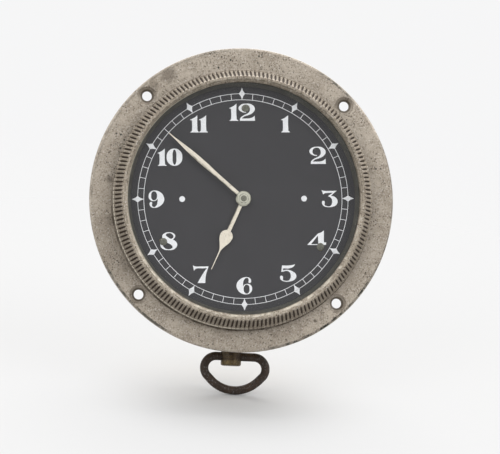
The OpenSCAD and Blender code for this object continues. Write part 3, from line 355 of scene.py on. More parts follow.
def startMaterial(name, metallic, bumpDepth):
    material = bpy.data.materials.new(name)
    material.use_nodes = True
    tree = material.node_tree
    shader = tree.nodes["Principled BSDF"]
    shader.inputs["Metallic"].default_value = metallic
    bump = addNode(tree, "ShaderNodeBump", {"Strength": 1.0, "Distance": bumpDepth * mm})
    tree.links.new(bump.outputs[0], shader.inputs["Normal"])
    vector = addNode(tree, "ShaderNodeTexCoord").outputs["Object"]
    return material, tree, shader, bump, vector


def metalMaterial(name, look, masks=()):
    material, tree, shader, bump, vector = startMaterial(name, look["metallic"], look["bump"])
    body = useGroup(tree, "agedMetal", vector, {
        "Pale": rgba(look["pale"]), "Deep": rgba(look["deep"]), "Pit Colour": rgba(look["pit"]),
        "Grain": look["grain"], "Pepper": look["pepper"], "Pepper Size": look["pepperSize"],
        "Pit Size": look["pitSize"], "Cover": look["cover"],
        "Smooth": look["smooth"], "Rough": look["rough"]})
    colour = body.outputs["Color"]
    roughness = body.outputs["Roughness"]
    for makeMask, dirt in masks:
        mask = makeMask(tree, vector)
        colour = blendColour(tree, mask, colour, rgba(dirt))
        roughness = largest(tree, roughness, product(tree, mask, look["rough"]))
    tree.links.new(colour, shader.inputs["Base Color"])
    tree.links.new(roughness, shader.inputs["Roughness"])
    tree.links.new(body.outputs["Height"], bump.inputs["Height"])
    return material


paintForm = {"cloudSoft": 0.3, "speckSpacing": 3}  # spacing counted in specks


def paintMaterial(name, look, masks=()):
    material, tree, shader, bump, vector = startMaterial(name, 0.0, look["bump"])
    clouds = useGroup(tree, "mottle", vector, {
        "Grain": look["grain"], "Softness": paintForm["cloudSoft"]}).outputs[0]
    specks = useGroup(tree, "pits", vector, {
        "Spacing": look["speckSize"] * paintForm["speckSpacing"], "Size": look["speckSize"],
        "Cover": look["cover"]}).outputs[0]
    tone = blendColour(tree, clouds, rgba(look["deep"]), rgba(look["pale"]))
    colour = blendColour(tree, specks, tone, rgba(look["speck"]))
    for makeMask, dirt in masks:
        colour = blendColour(tree, makeMask(tree, vector), colour, rgba(dirt))
    tree.links.new(colour, shader.inputs["Base Color"])
    roughness = compute(tree, "MULTIPLY_ADD", clouds, look["rough"] - look["smooth"], look["smooth"])
    tree.links.new(roughness, shader.inputs["Roughness"])
    tree.links.new(compute(tree, "SUBTRACT", clouds, specks), bump.inputs["Height"])
    return material


glassLook = {
    "Base Color": rgba((0.97, 0.98, 0.98)), "Roughness": 0.02, "IOR": 1.5, "Transmission Weight": 1.0,
}


def glassMaterial():
    material = bpy.data.materials.new("clearGlass")
    material.use_nodes = True
    shader = material.node_tree.nodes["Principled BSDF"]
    for socket, value in glassLook.items():
        shader.inputs[socket].default_value = value
    return material


# Wear, dirt, painted shade and painted highlights. A band is radius, half width, softness, angle, half angle,
# fade and strength.
# Patches break a mask up: grain, softness, the low and high end of the clouds, and what is left at each.

def patchy(tree, vector, mask, patches):
    grain, softness, low, high, least, most = patches
    clouds = useGroup(tree, "mottle", vector, {"Grain": grain, "Softness": softness})
    return product(tree, mask, softStep(tree, clouds.outputs[0], low, high, least, most))


def bandMask(wear):
    def makeMask(tree, vector):
        parts = []
        for radius, width, soft, angle, half, fade, strength in wear["bands"]:
            band = useGroup(tree, "arcMask", vector, {
                "Radius": radius, "Width": width, "Soft": soft,
                "Angle": angle, "Half Angle": half, "Fade": fade})
            parts.append(product(tree, band.outputs[0], strength))
        total = largest(tree, *parts)
        return patchy(tree, vector, total, wear["patches"]) if "patches" in wear else total
    return makeMask


def blotMask(tree, vector, rows, ragged):
    parts = []
    for across, up, reach, strength in rows:
        blot = useGroup(tree, "blot", vector, {"Across": across, "Up": up, "Reach": reach, "Ragged": ragged})
        parts.append(product(tree, blot.outputs[0], strength))
    return largest(tree, *parts)


# a dark brown used for dirt and for painted shade
grimeAndShade = fromScreen(70, 60, 47)
blackening = fromScreen(42, 44, 38)
flangeWearAndShade = {
    "sinkCircle": 46.0, "sinkSoft": 0.35, "sinks": [(2.1, 0.85), (2.9, 0.4)],  # reach, strength
    # soft dark blots: the large ones make the flange darker towards the bottom and the left, the small ones
    # are single marks
    "darkBlots": [  # across, up, reach, strength
        (-18.0, -58.0, 60.0, 0.1), (-60.0, 5.0, 40.0, 0.06), (-43.0, -19.0, 22.0, 0.2),
        (50.0, -8.0, 30.0, 0.08), (4.0, -62.0, 40.0, 0.24), (-25.8, 39.8, 3.6, 0.5), (-30.5, 36.0, 2.6, 0.35),
        (-43.6, 4.6, 1.7, 0.6), (-42.5, -8.5, 3.4, 0.35), (-37.0, -22.5, 4.5, 0.4), (-46.5, -14.0, 3.0, 0.25),
        (31.5, 33.5, 4.0, 0.2), (-30.5, -31.0, 2.6, 0.25), (25.6, -38.6, 0.8, 0.75), (31.8, -37.5, 0.7, 0.8),
        (12.5, -44.5, 1.0, 0.4)],
    "darkBlotRagged": 1.1,
    "pitPatches": [
        (-9.7, 45.7, 7.5, 1.0), (45.6, 14.0, 6.5, 1.0), (-40.4, 18.0, 5.5, 1.0), (3.0, 46.0, 4.0, 1.0)],
    "pitRagged": 1.4, "pits": {"Spacing": 1.3, "Size": 0.4, "Cover": 1.6},
    "foot": {  # painted shadow cast by the bezel on the flange, round the bezel's foot on its lower side
        "bands": [(42.8, 0.14, 0.25, -95.0, 70.0, 25.0, 1.0)], "patches": (4.0, 0.2, 0.1, 0.7, 0.4, 0.9)},
    "edge": {"bands": [
        (49.5, 0.22, 0.3, -52.0, 21.0, 8.0, 1.0), (49.5, 0.22, 0.3, -134.0, 13.0, 8.0, 0.8),
        (49.4, 0.22, 0.3, 53.0, 4.0, 8.0, 0.8), (49.8, 0.22, 0.3, -8.0, 30.0, 8.0, 0.45),
        (49.3, 0.22, 0.3, 140.0, 40.0, 8.0, 0.3), (49.7, 0.22, 0.3, 102.0, 8.0, 8.0, 0.4),
    ], "patches": (2.2, 0.14, 0.1, 0.75, 0.35, 1.0)},
}
handWearAndShade = {
    "hubRadius": 2.6, "hubSoft": 0.3,
    "rings": [(2.42, 0.05), (1.5, 0.06)], "ringSoft": 0.14, "ringPatches": (0.9, 0.2, 0.1, 0.9, 0.2, 0.85),
    "edges": [(141.4, 1.0, 22.0), (-112.1, -1.0, 9.5)],  # heading, side that carries the painted shadow, and how far out
    "edgeStart": (1.6, 2.6), "edgeFade": 2.5, "edgeAcross": (0.2, 0.55),
    "edgePatches": (1.5, 0.2, 0.1, 0.8, 0.35, 0.85),
}
bossShading = {"levels": (-52.6, -51.8), "patches": (1.6, 0.2, 0.1, 0.9, 0.55, 0.95)}


# dirt and painted shade in the countersinks round the four panel holes
def sinkMask(tree, vector):
    parts = []
    for reach, strength in flangeWearAndShade["sinks"]:
        hole = useGroup(tree, "holeMask", vector, {
            "Circle": flangeWearAndShade["sinkCircle"], "Radius": reach, "Soft": flangeWearAndShade["sinkSoft"]})
        parts.append(product(tree, hole.outputs[0], strength))
    return largest(tree, *parts)


def smudgeMask(tree, vector):
    return blotMask(tree, vector, flangeWearAndShade["darkBlots"], flangeWearAndShade["darkBlotRagged"])


def pitPatchMask(tree, vector):
    patches = blotMask(tree, vector, flangeWearAndShade["pitPatches"], flangeWearAndShade["pitRagged"])
    return product(tree, patches, useGroup(tree, "pits", vector, flangeWearAndShade["pits"]).outputs[0])


def hubMask(tree, vector):  # bare worn metal where the hands sit on their hubs
    return useGroup(tree, "ringMask", vector, {
        "Radius": 0.0, "Width": handWearAndShade["hubRadius"], "Soft": handWearAndShade["hubSoft"]}).outputs["Inside"]


# dark rings at the edges of the hub steps: dirt and painted shade
def hubRingMask(tree, vector):
    parts = []
    for radius, width in handWearAndShade["rings"]:
        ring = useGroup(tree, "ringMask", vector, {
            "Radius": radius, "Width": width, "Soft": handWearAndShade["ringSoft"]})
        parts.append(ring.outputs["Inside"])
    return patchy(tree, vector, largest(tree, *parts), handWearAndShade["ringPatches"])


# painted shadow along one side of each hand
def handEdgeMask(tree, vector):
    w = handWearAndShade
    parts = []
    for heading, side, end in w["edges"]:
        angle = math.radians(heading)
        along = measure(tree, "DOT_PRODUCT", vector, (math.cos(angle), 0, math.sin(angle)))
        across = measure(tree, "DOT_PRODUCT", vector, (-side * math.sin(angle), 0, side * math.cos(angle)))
        far = softStep(tree, along, w["edgeStart"][0] * mm, w["edgeStart"][1] * mm)
        near = softStep(tree, along, end * mm, (end + w["edgeFade"]) * mm, 1.0, 0.0)
        beside = softStep(tree, across, w["edgeAcross"][0] * mm, w["edgeAcross"][1] * mm)
        parts.append(product(tree, far, near, beside))
    return patchy(tree, vector, largest(tree, *parts), w["edgePatches"])


def bossMask(tree, vector):  # painted shade: the boss is coloured dark brown above its lower edge, which alone keeps its brass colour
    low, high = bossShading["levels"]
    above = softStep(tree, axesOf(tree, vector)[2], low * mm, high * mm)
    return patchy(tree, vector, above, bossShading["patches"])


nickelLook = {
    "pale": fromScreen(201, 190, 175), "deep": fromScreen(158, 146, 131), "pit": fromScreen(66, 56, 45),
    "metallic": 0.3, "grain": 6.5, "pepper": 0.85, "pepperSize": 0.5, "pitSize": 0.26, "cover": 0.4,
    "smooth": 0.42, "rough": 0.58, "bump": 0.035,
}
looks = {
    "flangeNickel": nickelLook,
    "agedBrass": {
        "pale": (0.62, 0.47, 0.22), "deep": (0.44, 0.31, 0.14), "pit": (0.10, 0.06, 0.03), "metallic": 0.9,
        "grain": 5.0, "pepper": 0.25, "pepperSize": 0.4, "pitSize": 0.25, "cover": 0.35, "smooth": 0.25,
        "rough": 0.42, "bump": 0.015},
    "polishedSteel": {
        "pale": (0.55, 0.56, 0.57), "deep": (0.38, 0.38, 0.38), "pit": (0.10, 0.07, 0.05), "metallic": 0.95,
        "grain": 3.0, "pepper": 0.2, "pepperSize": 0.3, "pitSize": 0.2, "cover": 0.25, "smooth": 0.18,
        "rough": 0.35, "bump": 0.01},
    "bluedSteel": {
        "pale": (0.09, 0.13, 0.32), "deep": (0.05, 0.07, 0.18), "pit": (0.12, 0.07, 0.04), "metallic": 0.9,
        "grain": 2.0, "pepper": 0.2, "pepperSize": 0.3, "pitSize": 0.15, "cover": 0.2, "smooth": 0.2,
        "rough": 0.35, "bump": 0.01},
    "dullSteel": {
        "pale": fromScreen(150, 149, 134), "deep": fromScreen(104, 103, 90), "pit": fromScreen(50, 48, 40),
        "metallic": 0.4, "grain": 0.9, "pepper": 0.4, "pepperSize": 0.3, "pitSize": 0.15, "cover": 0.5,
        "smooth": 0.45, "rough": 0.6, "bump": 0.01},
    "loopBronze": {
        "pale": fromScreen(68, 51, 38), "deep": fromScreen(20, 14, 10), "pit": fromScreen(92, 72, 50),
        "metallic": 0.25, "grain": 4.2, "pepper": 0.3, "pepperSize": 0.7, "pitSize": 0.3, "cover": 0.3,
        "smooth": 0.5, "rough": 0.7, "bump": 0.03},
    "bossBrass": {
        "pale": fromScreen(132, 112, 72), "deep": fromScreen(52, 45, 34), "pit": fromScreen(32, 27, 21),
        "metallic": 0.6, "grain": 3.0, "pepper": 0.45, "pepperSize": 0.4, "pitSize": 0.2, "cover": 0.4,
        "smooth": 0.3, "rough": 0.5, "bump": 0.03},
    "screwBlack": {
        "pale": fromScreen(122, 122, 110), "deep": fromScreen(62, 62, 52), "pit": fromScreen(168, 167, 154),
        "metallic": 0.3, "grain": 0.8, "pepper": 0.5, "pepperSize": 0.3, "pitSize": 0.2, "cover": 0.6,
        "smooth": 0.4, "rough": 0.6, "bump": 0.02},
    "dialBlack": {
        "pale": (0.0325, 0.0308, 0.0350), "deep": (0.0225, 0.0212, 0.0245), "speck": (0.06, 0.06, 0.065),
        "grain": 6.0, "speckSize": 0.12, "cover": 0.4, "smooth": 0.6, "rough": 0.75, "bump": 0.008},
    "spacerOlive": {
        "pale": fromScreen(84, 82, 74), "deep": fromScreen(52, 50, 44), "speck": fromScreen(120, 115, 100),
        "grain": 3.0, "speckSize": 0.2, "cover": 0.5, "smooth": 0.4, "rough": 0.6, "bump": 0.02},
    "handCream": {
        "pale": fromScreen(243, 234, 218), "deep": fromScreen(226, 216, 198),
        "speck": fromScreen(120, 108, 88), "grain": 1.2, "speckSize": 0.14, "cover": 0.5, "smooth": 0.5,
        "rough": 0.7, "bump": 0.01},
    "printWhite": {
        "pale": fromScreen(246, 246, 248), "deep": fromScreen(234, 235, 238),
        "speck": fromScreen(170, 170, 172), "grain": 2.0, "speckSize": 0.1, "cover": 0.3, "smooth": 0.55,
        "rough": 0.7, "bump": 0.004},
}
masksOn = {
    "flangeNickel": [(bandMask(flangeWearAndShade["foot"]), grimeAndShade), (smudgeMask, grimeAndShade), (sinkMask, grimeAndShade),
                     (pitPatchMask, blackening), (bandMask(flangeWearAndShade["edge"]), blackening)],
    "bossBrass": [(bossMask, fromScreen(56, 44, 36))],
    "handCream": [(hubMask, fromScreen(208, 206, 190)), (handEdgeMask, fromScreen(96, 92, 74)),
                  (hubRingMask, fromScreen(80, 78, 64))],
}
nodeFinish = {
    "mounting_flange": "flangeNickel", "bezel": "flangeNickel", "glass": "glass", "dial": "dialBlack",
    "spacer_ring": "spacerOlive", "dial_screws": "screwBlack", "hour_hand": "handCream",
    "minute_hand": "handCream", "handle_loop": "loopBronze", "handle_boss": "bossBrass",
    "stem_bush": "bossBrass", "cannon_pinion": "dullSteel", "centre_arbor": "dullSteel",
}
slotFinish = {"brass": "agedBrass", "steel": "polishedSteel", "blued_steel": "bluedSteel"}
materials = {"glass": glassMaterial()}


def makeMaterials():
    for name, look in looks.items():
        makeMaterial = paintMaterial if "speck" in look else metalMaterial
        materials[name] = makeMaterial(name, look, masksOn.get(name, ()))


def dressNodes():
    nodeSlot = {row["node"]: row["material_slot"] for row in frame["record"]["subparts"]}
    for name, node in nodes.items():
        finish = nodeFinish.get(name) or slotFinish[nodeSlot[name]]
        for slot in node.material_slots:
            slot.material = materials[finish]
    pane = nodes["glass"]
    pane.visible_shadow = False
    pane.visible_diffuse = False
    pane.visible_glossy = False


makeMaterials()
dressNodes()
print("materials made and put on the nodes")


# Mesh helpers

def newMesh(name, points, faces):
    mesh = bpy.data.meshes.new(name)
    mesh.from_pydata([[c * mm for c in p] for p in points], [], faces)
    return mesh


def mendMesh(mesh, gap=0.0):  # merges points closer than the gap, and turns the faces outwards
    work = bmesh.new()
    work.from_mesh(mesh)
    if gap:
        bmesh.ops.remove_doubles(work, verts=work.verts, dist=gap * mm)
    bmesh.ops.recalc_face_normals(work, faces=work.faces)
    work.to_mesh(mesh)
    work.free()


def addPiece(name, mesh, finish, slot, body="case", sharpAngle=35):
    mesh.materials.clear()
    mesh.materials.append(materials[finish])
    mesh.polygons.foreach_set("use_smooth", [True] * len(mesh.polygons))
    mesh.set_sharp_from_angle(angle=math.radians(sharpAngle))
    piece = bpy.data.objects.new(name, mesh)
    bpy.context.scene.collection.objects.link(piece)
    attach(piece, body)
    return piece


def bakeMesh(holder):  # the plain mesh of an object's curve or modifier
    evaluated = holder.evaluated_get(bpy.context.evaluated_depsgraph_get())
    mesh = bpy.data.meshes.new_from_object(evaluated)
    bpy.data.objects.remove(holder)
    return mesh


def bakePiece(name, tree, values, finish, slot, base=None, **settings):
    holder = bpy.data.objects.new(name + "Holder", base or bpy.data.meshes.new(name + "Base"))
    bpy.context.scene.collection.objects.link(holder)
    modifier = holder.modifiers.new("nodes", "NODES")
    modifier.node_group = tree
    values = {**values, "Material": materials[finish]}
    for item in tree.interface.items_tree:
        if item.in_out == "INPUT" and item.name in values:
            modifier[item.identifier] = values[item.name]
    return addPiece(name, bakeMesh(holder), finish, slot, **settings)


def endTree(tree, geometry, out, material):
    realized = addNode(tree, "GeometryNodeRealizeInstances", {0: geometry})
    coated = addNode(tree, "GeometryNodeSetMaterial", {"Geometry": realized.outputs[0], "Material": material})
    tree.links.new(coated.outputs[0], out["Geometry"])


def standUp(tree, geometry, level):  # a flat drawing, turned to face the viewer at its level
    lifted = addNode(tree, "GeometryNodeTransform", {
        "Geometry": geometry, "Translation": joinAxes(tree, z=level)})
    return addNode(tree, "GeometryNodeTransform", {
        "Geometry": lifted.outputs[0], "Rotation": (math.pi / 2, 0, 0), "Scale": (mm, mm, mm)}).outputs[0]


def turnedShape(profile, steps):  # a closed profile of (radius, y) turned about the clock's axis
    points = []
    faces = []
    rows = len(profile)
    for i in range(steps):
        angle = 2 * math.pi * i / steps
        points += [(r * math.cos(angle), y, r * math.sin(angle)) for r, y in profile]
        j = (i + 1) % steps
        for k in range(rows):
            n = (k + 1) % rows
            faces.append((i * rows + k, j * rows + k, j * rows + n, i * rows + n))
    return points, faces


def arc(centre, radius, start, end, count):  # points round a corner, from one angle to another
    found = []
    for i in range(count + 1):
        angle = math.radians(start + (end - start) * i / count)
        found.append((centre[0] + radius * math.cos(angle), centre[1] + radius * math.sin(angle)))
    return found


# Bezel

bezelSize = {
    "reeds": 188, "reedDepth": 0.4, "stepsPerReed": 8, "grooveHalf": 0.26, "grooveRows": 7,
    "grooveFlat": 0.72, "grooveEdge": 0.02, "grooveEnds": 10.0,
    "panel": -1.6, "skirtRadius": 42.6, "skirtRound": 0.3, "skirtTurn": -80, "skirtSteps": 4,
    "footRadius": 42.2, "footLevel": -4.9,
    "headRadius": 40.0, "headLevel": -8.9, "frontLevel": -9.3, "lipRound": 0.4, "lipSteps": 5,
    "slopeRadius": 39.0, "slopeLevel": -8.75, "slopeEase": 0.15, "slopeDrop": (0.03, 0.09),
    "apertureRadius": 37.9, "apertureEase": 0.1, "apertureDrop": (-0.04, 0.05), "glassLevel": -8.3,
    "seatRadius": 39.6, "seatLevel": -4.4, "rearRadius": 41.2, "seatMargin": 0.1,
}
bezelLook = dict(nickelLook, pale=fromScreen(186, 175, 159), deep=fromScreen(140, 128, 112), grain=4.0)
bezelWearAndLight = {
    "lathe": {"perMillimetre": 2.6, "detail": 3.0, "lines": (0.52, 0.64), "fade": 0.2,
              "patches": (5.0, 0.2, 0.2, 0.8, 0.15, 0.5)},
    "reeds": {"bands": [  # the reeding is darkened in bands at the bottom, the left and the top; the lower band is partly painted shade, where the cone faces down
        (41.3, 1.0, 0.4, -95.0, 60.0, 60.0, 0.36), (41.3, 1.0, 0.4, 180.0, 60.0, 40.0, 0.2),
        (41.3, 1.0, 0.4, 88.0, 40.0, 40.0, 0.4)]},
    "grooves": {"from": 0.04, "deepShare": 0.7,  # of the reeds' depth
                "levels": (-0.1, 0.15), "outside": (0.1, 0.3)},  # counted from the head and from the seat
    "shine": {  # painted highlight on the inner slope of the lip, brightest below, where the slope faces up
        "bands": [(38.45, 0.3, 0.25, -82.0, 52.0, 28.0, 1.0)], "patches": (2.0, 0.2, 0.2, 0.8, 0.0, 0.5)},
    # dark brown on the inner slope of the lip: the wide band at the top is painted shade, where the slope
    # faces down; a short band lies at the lower right, and the thin full ring is dirt where the lip meets the
    # glass
    "slope": {"bands": [
        (38.1, 0.4, 0.7, 95.0, 62.0, 35.0, 0.52), (38.3, 0.5, 0.5, -34.0, 12.0, 14.0, 0.35),
        (37.95, 0.1, 0.25, 90.0, 180.0, 10.0, 0.8),
    ], "patches": (2.5, 0.2, 0.0, 1.0, 0.45, 0.85)},
    "rings": {"bands": [  # old lacquer, thickest at the top right
        (39.45, 0.02, 0.1, 62.0, 60.0, 45.0, 0.4), (38.7, 0.03, 0.1, 62.0, 60.0, 45.0, 0.6),
        (38.25, 0.03, 0.1, 62.0, 60.0, 45.0, 0.6),
    ], "patches": (2.2, 0.2, 0.15, 0.75, 0.3, 1.0)},
    "lipLine": {
        "bands": [(38.95, 0.05, 0.16, 150.0, 100.0, 60.0, 1.0)], "patches": (3.0, 0.2, 0.3, 0.8, 0.1, 0.75)},
    "apertureEdge": {"bands": [(38.0, 0.06, 0.12, 175.0, 45.0, 20.0, 0.7)]},
    # painted highlight along the edge of the skirt at the lower left
    "skirtHighlight": {"bands": [(42.45, 0.08, 0.1, -135.0, 40.0, 15.0, 0.75)]},
}


def bezelProfile():
    s = bezelSize
    cone = []
    for i in range(s["grooveRows"] + 1):
        t = i / s["grooveRows"]
        cone.append((s["footRadius"] + (s["headRadius"] - s["footRadius"]) * t,
                     s["footLevel"] + (s["headLevel"] - s["footLevel"]) * t))
    lip = s["lipRound"]
    foot = s["skirtRound"]
    footCentre = (s["skirtRadius"] - foot, s["footLevel"] + foot)
    skirt = arc(footCentre, foot, 0, s["skirtTurn"], s["skirtSteps"])
    crown = arc((s["headRadius"] - lip, s["frontLevel"] + lip), lip, 0, -90, s["lipSteps"])
    slope = [(s["slopeRadius"] + s["slopeEase"], s["frontLevel"]),
             (s["slopeRadius"], s["frontLevel"] + s["slopeDrop"][0]),
             (s["slopeRadius"] - s["slopeEase"], s["frontLevel"] + s["slopeDrop"][1]),
             (s["apertureRadius"] + s["apertureEase"], s["slopeLevel"] + s["apertureDrop"][0]),
             (s["apertureRadius"], s["slopeLevel"] + s["apertureDrop"][1])]
    rear = [(s["apertureRadius"], s["glassLevel"]), (s["seatRadius"], s["glassLevel"]),
            (s["seatRadius"], s["seatLevel"]), (s["rearRadius"], s["seatLevel"]),
            (s["rearRadius"], s["panel"])]
    return [(s["skirtRadius"], s["panel"])] + skirt + cone + crown[1:] + slope + rear


def makeReedTree():
    s = bezelSize
    tree, given, out = newTree("reededCone", "GeometryNodeTree", [
        ("Geometry", "Geometry"), ("Reeds", "Float", s["reeds"]), ("Depth", "Float", s["reedDepth"]),
        ("Groove Half", "Float", s["grooveHalf"]), ("Groove Flat", "Float", s["grooveFlat"]),
        ("Groove Edge", "Float", s["grooveEdge"]), ("Groove Ends", "Float", s["grooveEnds"]),
        ("Foot Level", "Float", s["footLevel"]), ("Head Level", "Float", s["headLevel"]),
        ("Inner Radius", "Float", s["seatRadius"]), ("Material", "Material"),
    ], [("Geometry", "Geometry")])
    axes = axesOf(tree, addNode(tree, "GeometryNodeInputPosition").outputs[0])
    angle = compute(tree, "ARCTAN2", axes[2], axes[0])
    phase = compute(tree, "FRACT", product(tree, compute(tree, "DIVIDE", angle, 2 * math.pi), given["Reeds"]))
    fromMiddle = compute(tree, "ABSOLUTE", compute(tree, "SUBTRACT", phase, 0.5))
    foot = product(tree, given["Foot Level"], mm)
    head = product(tree, given["Head Level"], mm)
    along = softStep(tree, axes[1], foot, head)
    fromCentre = compute(tree, "ABSOLUTE", compute(tree, "MULTIPLY_ADD", along, 2.0, -1.0))
    ends = compute(tree, "SUBTRACT", 1.0, compute(tree, "POWER", fromCentre, given["Groove Ends"]))
    half = product(tree, given["Groove Half"], ends)
    flank = product(tree, half, given["Groove Flat"])
    sunk = softStep(tree, fromMiddle, flank, compute(tree, "ADD", half, given["Groove Edge"]), 1.0, 0.0)
    flat = joinAxes(tree, axes[0], 0.0, axes[2])
    radius = measure(tree, "LENGTH", flat)
    isOuter = compute(tree, "GREATER_THAN", radius, product(tree, given["Inner Radius"], mm))
    amount = product(tree, sunk, isOuter, product(tree, given["Depth"], -mm))
    shift = scaleVector(tree, flat, compute(tree, "DIVIDE", amount, radius))
    moved = addNode(tree, "GeometryNodeSetPosition", {"Geometry": given["Geometry"], "Offset": shift})
    endTree(tree, moved.outputs[0], out, given["Material"])
    return tree


def grooveMask(tree, vector):  # dirt and painted shade, deepest in the grooves of the reeding
    s = bezelSize
    w = bezelWearAndLight["grooves"]
    level = compute(tree, "DIVIDE", axesOf(tree, vector)[1], mm)
    fall = (s["headRadius"] - s["footRadius"]) / (s["headLevel"] - s["footLevel"])
    cone = compute(tree, "MULTIPLY_ADD", level, fall, s["footRadius"] - fall * s["footLevel"])
    distance = useGroup(tree, "ringMask", vector).outputs["Distance"]
    depth = compute(tree, "SUBTRACT", cone, distance)
    sunk = softStep(tree, depth, w["from"], s["reedDepth"] * w["deepShare"])
    outside = softStep(tree, distance, s["seatRadius"] + w["outside"][0], s["seatRadius"] + w["outside"][1])
    behind = softStep(tree, level, s["headLevel"] + w["levels"][0], s["headLevel"] + w["levels"][1])
    return product(tree, sunk, outside, behind)


def turningMarks(tree, vector):  # fine rings left by the lathe
    w = bezelWearAndLight["lathe"]
    head = bezelSize["headRadius"]
    distance = useGroup(tree, "ringMask", vector).outputs["Distance"]
    rings = addNode(tree, "ShaderNodeTexNoise", {
        "W": distance, "Scale": w["perMillimetre"], "Detail": w["detail"]}, noise_dimensions="1D")
    lines = softStep(tree, rings.outputs[0], *w["lines"])
    plain = softStep(tree, distance, head, head + w["fade"], 1.0, 0.0)
    return patchy(tree, vector, product(tree, lines, plain), w["patches"])


def makeBezel():
    s = bezelSize
    w = bezelWearAndLight
    materials["bezelNickel"] = metalMaterial("bezelNickel", bezelLook, [
        (turningMarks, grimeAndShade), (bandMask(w["reeds"]), grimeAndShade), (grooveMask, fromScreen(52, 39, 27)),
        (bandMask(w["shine"]), fromScreen(240, 233, 215)), (bandMask(w["slope"]), fromScreen(74, 66, 52)),
        (bandMask(w["rings"]), fromScreen(72, 62, 44)), (bandMask(w["lipLine"]), fromScreen(80, 76, 60)),
        (bandMask(w["apertureEdge"]), fromScreen(168, 164, 148)),
        (bandMask(w["skirtHighlight"]), fromScreen(214, 206, 190))])
    base = newMesh("bezelBase", *turnedShape(bezelProfile(), s["reeds"] * s["stepsPerReed"]))
    mendMesh(base)
    bezel = bakePiece("reeded_bezel", makeReedTree(), {
        "Reeds": float(s["reeds"]), "Depth": s["reedDepth"], "Groove Half": s["grooveHalf"],
        "Groove Flat": s["grooveFlat"], "Groove Edge": s["grooveEdge"], "Groove Ends": s["grooveEnds"],
        "Foot Level": s["footLevel"], "Head Level": s["headLevel"],
        "Inner Radius": s["seatRadius"] + s["seatMargin"],
    }, "bezelNickel", "aged_nickel", base=base, sharpAngle=50)
    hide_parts("bezel")


makeBezel()
print("bezel made")


# Dial print

dialSize = {
    "turn": 3.0,  # the dial sits this far anticlockwise in its case
    "marks": 60, "stars": 12, "outerTrack": 34.5, "innerTrack": 32.5, "line": 0.17, "paint": 0.03,
    "starLength": 1.95, "starWidth": 1.05, "starWaist": 0.6, "starWeld": 0.001,
    "dotRadius": 0.95, "dotCircle": 20.0, "dotSteps": 32, "lineSteps": 240,
    "numeralHeight": 5.65, "numeralCircle": 28.4, "numeralGap": 1.0, "curveSteps": 6, "weld": 0.0001,
    "nudge": {4: (-0.6, 0.9), 5: (0.2, 0.3), 8: (0.1, 0.4), 10: (0.8, -0.5)},  # hand lettering strays
}
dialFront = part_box("dial")[0].y / mm


def placeRound(tree, count, radius, piece):  # copies round a circle, each facing out
    ring = addNode(tree, "GeometryNodeMeshCircle", {"Vertices": count, "Radius": radius})
    index = addNode(tree, "GeometryNodeInputIndex").outputs[0]
    angle = compute(tree, "DIVIDE", product(tree, index, 2 * math.pi), count)
    turned = joinAxes(tree, z=compute(tree, "SUBTRACT", angle, math.pi / 2))
    return addNode(tree, "GeometryNodeInstanceOnPoints", {
        "Points": ring.outputs[0], "Instance": piece, "Rotation": turned}).outputs[0]


def makeTrackTree():
    s = dialSize
    tree, given, out = newTree("minuteTrack", "GeometryNodeTree", [
        ("Marks", "Int", s["marks"]), ("Stars", "Int", s["stars"]), ("Outer", "Float", s["outerTrack"]),
        ("Inner", "Float", s["innerTrack"]), ("Line", "Float", s["line"]), ("Paint", "Float", s["paint"]),
        ("Star Length", "Float", s["starLength"]), ("Star Width", "Float", s["starWidth"]),
        ("Star Waist", "Float", s["starWaist"]), ("Turn", "Float", s["turn"]), ("Level", "Float"),
        ("Material", "Material"),
    ], [("Geometry", "Geometry")])
    middle = product(tree, compute(tree, "ADD", given["Outer"], given["Inner"]), 0.5)
    span = compute(tree, "SUBTRACT", given["Outer"], given["Inner"])
    tickSize = joinAxes(tree, given["Line"], span, given["Paint"])
    tick = addNode(tree, "GeometryNodeMeshCube", {"Size": tickSize})
    outline = addNode(tree, "GeometryNodeCurveStar", {
        "Points": 4, "Inner Radius": given["Star Waist"], "Outer Radius": 1.0})
    starSize = joinAxes(tree, given["Star Width"], given["Star Length"], 1.0)
    stretched = addNode(tree, "GeometryNodeTransform", {"Geometry": outline.outputs[0], "Scale": starSize})
    face = addNode(tree, "GeometryNodeFillCurve", {0: stretched.outputs[0]})
    raised = addNode(tree, "GeometryNodeExtrudeMesh", {
        "Mesh": face.outputs[0], "Offset Scale": given["Paint"], "Individual": False})
    under = addNode(tree, "GeometryNodeFlipFaces", {0: face.outputs[0]})
    star = addNode(tree, "GeometryNodeJoinGeometry")
    tree.links.new(raised.outputs[0], star.inputs[0])
    tree.links.new(under.outputs[0], star.inputs[0])
    closed = addNode(tree, "GeometryNodeMergeByDistance", {
        "Geometry": star.outputs[0], "Distance": s["starWeld"]})
    both = addNode(tree, "GeometryNodeJoinGeometry")
    tree.links.new(placeRound(tree, given["Marks"], middle, tick.outputs[0]), both.inputs[0])
    tree.links.new(placeRound(tree, given["Stars"], given["Outer"], closed.outputs[0]), both.inputs[0])
    spun = addNode(tree, "GeometryNodeTransform", {
        "Geometry": both.outputs[0], "Rotation": joinAxes(tree, z=compute(tree, "RADIANS", given["Turn"]))})
    endTree(tree, standUp(tree, spun.outputs[0], given["Level"]), out, given["Material"])
    return tree


